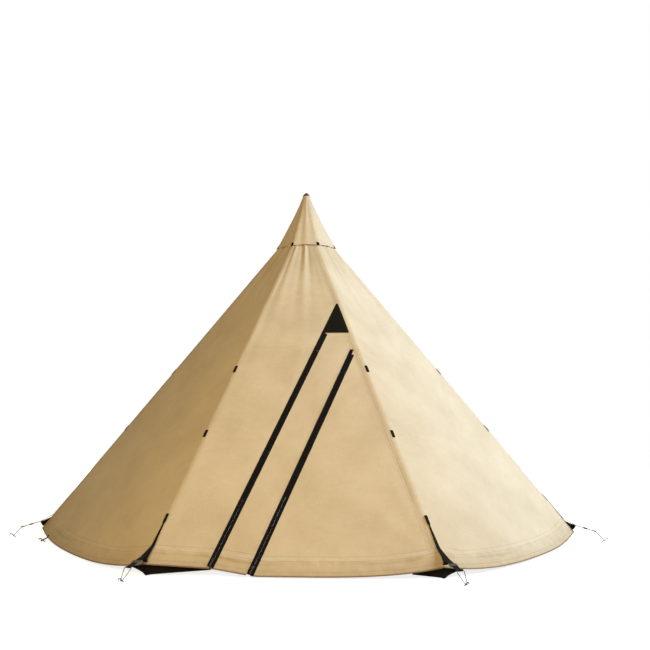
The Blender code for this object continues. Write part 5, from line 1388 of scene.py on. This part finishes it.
class TENT_OT_crown(bpy.types.Operator):
    """Make the webbing ring and straps that hang the canvas from the pole head."""
    bl_idname = "tent.crown"
    bl_label = "Crown Webbing"

    def execute(self, context):
        webbing, strap_width, bend_radius, spacing = 0.0019, 0.025, 0.010, 0.010
        ring_gap, strap_gap, behind_seam = 0.0006, 0.0006, -LAP_LIFT - 0.0020
        low = (CROWN_HEIGHT - CROWN_RING - CORNER_HEIGHT) / SEAM_RISE
        per_side, rows, column_run, ring_thickness = 8, 4, 0.025, 0.0015
        columns = SIDE_COUNT * per_side
        points, cloth = [], []
        for row in range(rows):
            rise = low + (CROWN_SHARE - low) * row / (rows - 1)
            for column in range(columns):
                side, step = divmod(column, per_side)
                across = -1.0 + step * 2.0 / per_side
                points.append(side_point(side, across, rise, -webbing - ring_gap))
                cloth.append((column * column_run, CROWN_RING * row / (rows - 1)))
        ring = new_mesh("ring", points, grid_faces(columns, rows, closed=True), None, cloth)
        edit_mesh(ring, lambda shape: bmesh.ops.solidify(shape, geom=shape.faces[:],
                                                         thickness=ring_thickness))

        # Straps from the ring up the inside of the seams to the hub
        seam_length = math.hypot(CORNER_RADIUS, SEAM_RISE)
        lift = behind_seam / NORMAL_RISE * math.cos(SEAM_SLOPE)
        inset = Vector((strap_width / 2.0 * math.tan(SIDE_ANGLE / 2.0) + strap_gap, 0.0))
        foot = seam_plane_point((low + CROWN_SHARE) / 2.0 * seam_length, lift) - inset
        shoulder = seam_plane_point(CROWN_SHARE * seam_length + strap_width / 2.0, lift) - inset
        head, bend = Vector((0.040, 2.941)), Vector((0.056, 2.939))
        path = spaced_path(rounded_path([head, bend, shoulder, foot], bend_radius), spacing)
        meshes = [band_mesh("crown_strap", path, lambda along: strap_width, webbing,
                            seam_turn(seam)) for seam in range(SIDE_COUNT)]

        # The hub: a flat ring of cloth round the pole head
        steps, mean_radius = 48, 0.04
        bore, flat, rim = 0.0266, 0.0500, 0.0518
        under, rim_low, rim_high, top = 2.9392, 2.9400, 2.9420, 2.9428
        section = [(bore, under), (bore, top), (flat, top), (rim, rim_high), (rim, rim_low),
                   (flat, under)]
        points, cloth = [], []
        for step in range(steps):
            angle = TURN * step / steps
            for radius, height in section:
                points.append((radius * math.cos(angle), radius * math.sin(angle), height))
                cloth.append((radius, angle * mean_radius))
        count = len(section)
        faces, last = grid_faces(count, steps, closed=True), (steps - 1) * count
        faces += [(last + i, last + (i + 1) % count, (i + 1) % count, i) for i in range(count)]
        meshes.append(new_mesh("hub", points, faces, None, cloth))
        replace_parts(new_webbing("crown_ring_and_straps", [ring] + meshes), "crown_webbing")
        return {"FINISHED"}


class TENT_OT_hardware(bpy.types.Operator):
    """Give the buckles, links, pegs, sliders, pole and cap mast their finishes."""
    bl_idname = "tent.hardware"
    bl_label = "Hardware"

    def execute(self, context):
        finishes = {"corner_buckle": moulded_acetal, "corner_link": zinc_plated_steel,
                    "corner_peg": zinc_plated_steel, "hem_peg": zinc_plated_steel,
                    "zip_slider": lacquered_zinc, "pole_head": moulded_acetal,
                    "pole_foot": moulded_rubber, "pole_lower": drawn_aluminium,
                    "pole_upper": drawn_aluminium, "cap_mast": bronze_anodised_aluminium}
        rounding = {"zip_slider": 0.0004, "pole_foot": 0.0008, "pole_head": 0.0008}
        for node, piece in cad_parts.items():
            for start, finish in finishes.items():
                if node.startswith(start):
                    piece.data.materials.clear()
                    piece.data.materials.append(finish())
            for start, width in rounding.items():
                if node.startswith(start):
                    round_edges(piece, width)
        return {"FINISHED"}


def add_light(name, towards, colour, strength):
    """A square light in a direction. Its strength is how bright it makes a white facing it."""
    distance, size, aim_height = 8.5, 4.5, 1.2
    towards = Vector(towards).normalized()
    lamp = bpy.data.lights.new(name, "AREA")
    lamp.shape = "SQUARE"
    lamp.size = size
    lamp.color = colour
    lamp.energy = strength * math.pi ** 2 * distance ** 2
    light = bpy.data.objects.new(name, lamp)
    bpy.context.scene.collection.objects.link(light)
    light.location = towards * distance + Vector((0.0, 0.0, aim_height))
    light.rotation_euler = (-towards).to_track_quat("-Z", "Y").to_euler()


def seen_or_lit(tree, lit, seen):
    """One shader for rays that light the tent, and another where a picture or gloss sees it."""
    rays = add_node(tree, "ShaderNodeLightPath")
    share = rays.outputs["Is Camera Ray"]
    for kind in ("Is Glossy Ray", "Is Transmission Ray"):
        share = add_node(tree, MATH, {0: share, 1: rays.outputs[kind]}, operation="MAXIMUM")
    return add_node(tree, "ShaderNodeMixShader", {0: share, 1: lit, 2: seen})


def white_surroundings(fill):
    """White where it is seen, and a faint warm light all round."""
    world = bpy.data.worlds.new("surroundings")
    world.use_nodes = True
    tree = world.node_tree
    tree.nodes.clear()
    lit = add_node(tree, "ShaderNodeBackground", {"Color": linear("#FFF6E7"), "Strength": fill})
    seen = add_node(tree, "ShaderNodeBackground", {"Color": linear("#FFFFFF")})
    add_node(tree, "ShaderNodeOutputWorld", {0: seen_or_lit(tree, lit, seen)})
    return world


def matt_white_floor():
    """Matt white paper: it glows to white further out, and throws warm light on the tent."""
    material = bpy.data.materials.new("matt_white_floor")
    material.use_nodes = True
    tree = material.node_tree
    tree.nodes.clear()
    matt = add_node(tree, "ShaderNodeBsdfDiffuse", {"Color": linear("#B3ADA6")})
    place = add_node(tree, "ShaderNodeTexCoord")
    far = add_node(tree, "ShaderNodeVectorMath", {0: place.outputs["Object"]}, operation="LENGTH")
    far = add_node(tree, RANGE, {"Value": far.outputs["Value"], "From Min": 3.2,
                                 "From Max": 6.0, "To Min": 0.84, "To Max": 1.1})
    glow = add_node(tree, "ShaderNodeEmission", {"Color": linear("#FFFFFF"), "Strength": far})
    pale = add_node(tree, "ShaderNodeBsdfDiffuse", {"Color": linear("#CECECE")})
    bright = add_node(tree, "ShaderNodeAddShader", {0: glow, 1: pale})
    add_node(tree, "ShaderNodeOutputMaterial", {0: seen_or_lit(tree, matt, bright)})
    return material


class TENT_OT_stage(bpy.types.Operator):
    """Set the camera, the lights, the floor and the pale surroundings."""
    bl_idname = "tent.stage"
    bl_label = "Stage"

    def execute(self, context):
        settings = context.scene.tent_stage
        lens = bpy.data.cameras.new("camera")
        lens.sensor_width = 36.0
        lens.lens = settings.lens
        lens.shift_x = settings.shift_x
        lens.shift_y = settings.shift_y
        camera = bpy.data.objects.new("camera", lens)
        context.scene.collection.objects.link(camera)
        camera.location = settings.eye
        camera.rotation_euler = (math.radians(90.0), 0.0, settings.heading)
        context.scene.camera = camera

        cool, amber, warm = (0.776, 0.889, 1.0), (1.0, 0.732, 0.320), (1.0, 0.80, 0.52)
        add_light("key", (0.83, -0.18, 0.52), cool, settings.key)
        add_light("front", (-0.16, -1.0, 0.42), amber, settings.front)
        add_light("back", (0.16, 0.90, 0.43), warm, settings.back)
        add_light("left", (-0.66, 0.74, 0.12), warm, settings.left)
        context.scene.world = white_surroundings(settings.fill)

        if settings.floor:
            size, height = 7.0, -0.0006
            mesh = bpy.data.meshes.new("floor")
            mesh.from_pydata([(-size, -size, height), (size, -size, height),
                              (size, size, height), (-size, size, height)], [], [(0, 1, 2, 3)])
            floor = bpy.data.objects.new("floor", mesh)
            context.scene.collection.objects.link(floor)
            mesh.materials.append(matt_white_floor())
        context.scene.view_settings.view_transform = "Standard"
        return {"FINISHED"}


OPERATORS = (TENT_OT_stage, TENT_OT_side_canvas, TENT_OT_door_side, TENT_OT_zips,
             TENT_OT_head_patch, TENT_OT_vent_cap, TENT_OT_ground_skirt, TENT_OT_corner_straps,
             TENT_OT_seam_tabs, TENT_OT_hem_loops, TENT_OT_crown, TENT_OT_hardware)


class TENT_PT_panel(bpy.types.Panel):
    """The tent's settings and the buttons that make its pieces."""
    bl_idname = "TENT_PT_panel"
    bl_label = "Canvas Tipi Tent"
    bl_space_type = "VIEW_3D"
    bl_region_type = "UI"
    bl_category = "Tent"

    def draw(self, context):
        layout = self.layout
        for group in (context.scene.tent_canvas, context.scene.tent_trim,
                      context.scene.tent_colours, context.scene.tent_stage):
            box = layout.box()
            for key in group.__annotations__:
                box.prop(group, key)
        for operator in OPERATORS:
            layout.operator(operator.bl_idname)


GROUPS = {"tent_canvas": TentCanvasSettings, "tent_trim": TentTrimSettings,
          "tent_colours": TentColourSettings, "tent_stage": TentStageSettings}


def register():
    for group in GROUPS.values():
        bpy.utils.register_class(group)
    for operator in OPERATORS:
        bpy.utils.register_class(operator)
    bpy.utils.register_class(TENT_PT_panel)
    for key, group in GROUPS.items():
        setattr(bpy.types.Scene, key, PointerProperty(type=group))


def unregister():
    for key in GROUPS:
        delattr(bpy.types.Scene, key)
    for kind in (TENT_PT_panel, *reversed(OPERATORS), *GROUPS.values()):
        bpy.utils.unregister_class(kind)


def main():
    """Make every piece around the frame."""
    register()
    for operator in OPERATORS:
        category, action = operator.bl_idname.split(".")
        getattr(getattr(bpy.ops, category), action)()


if __name__ == "__main__":
    main()
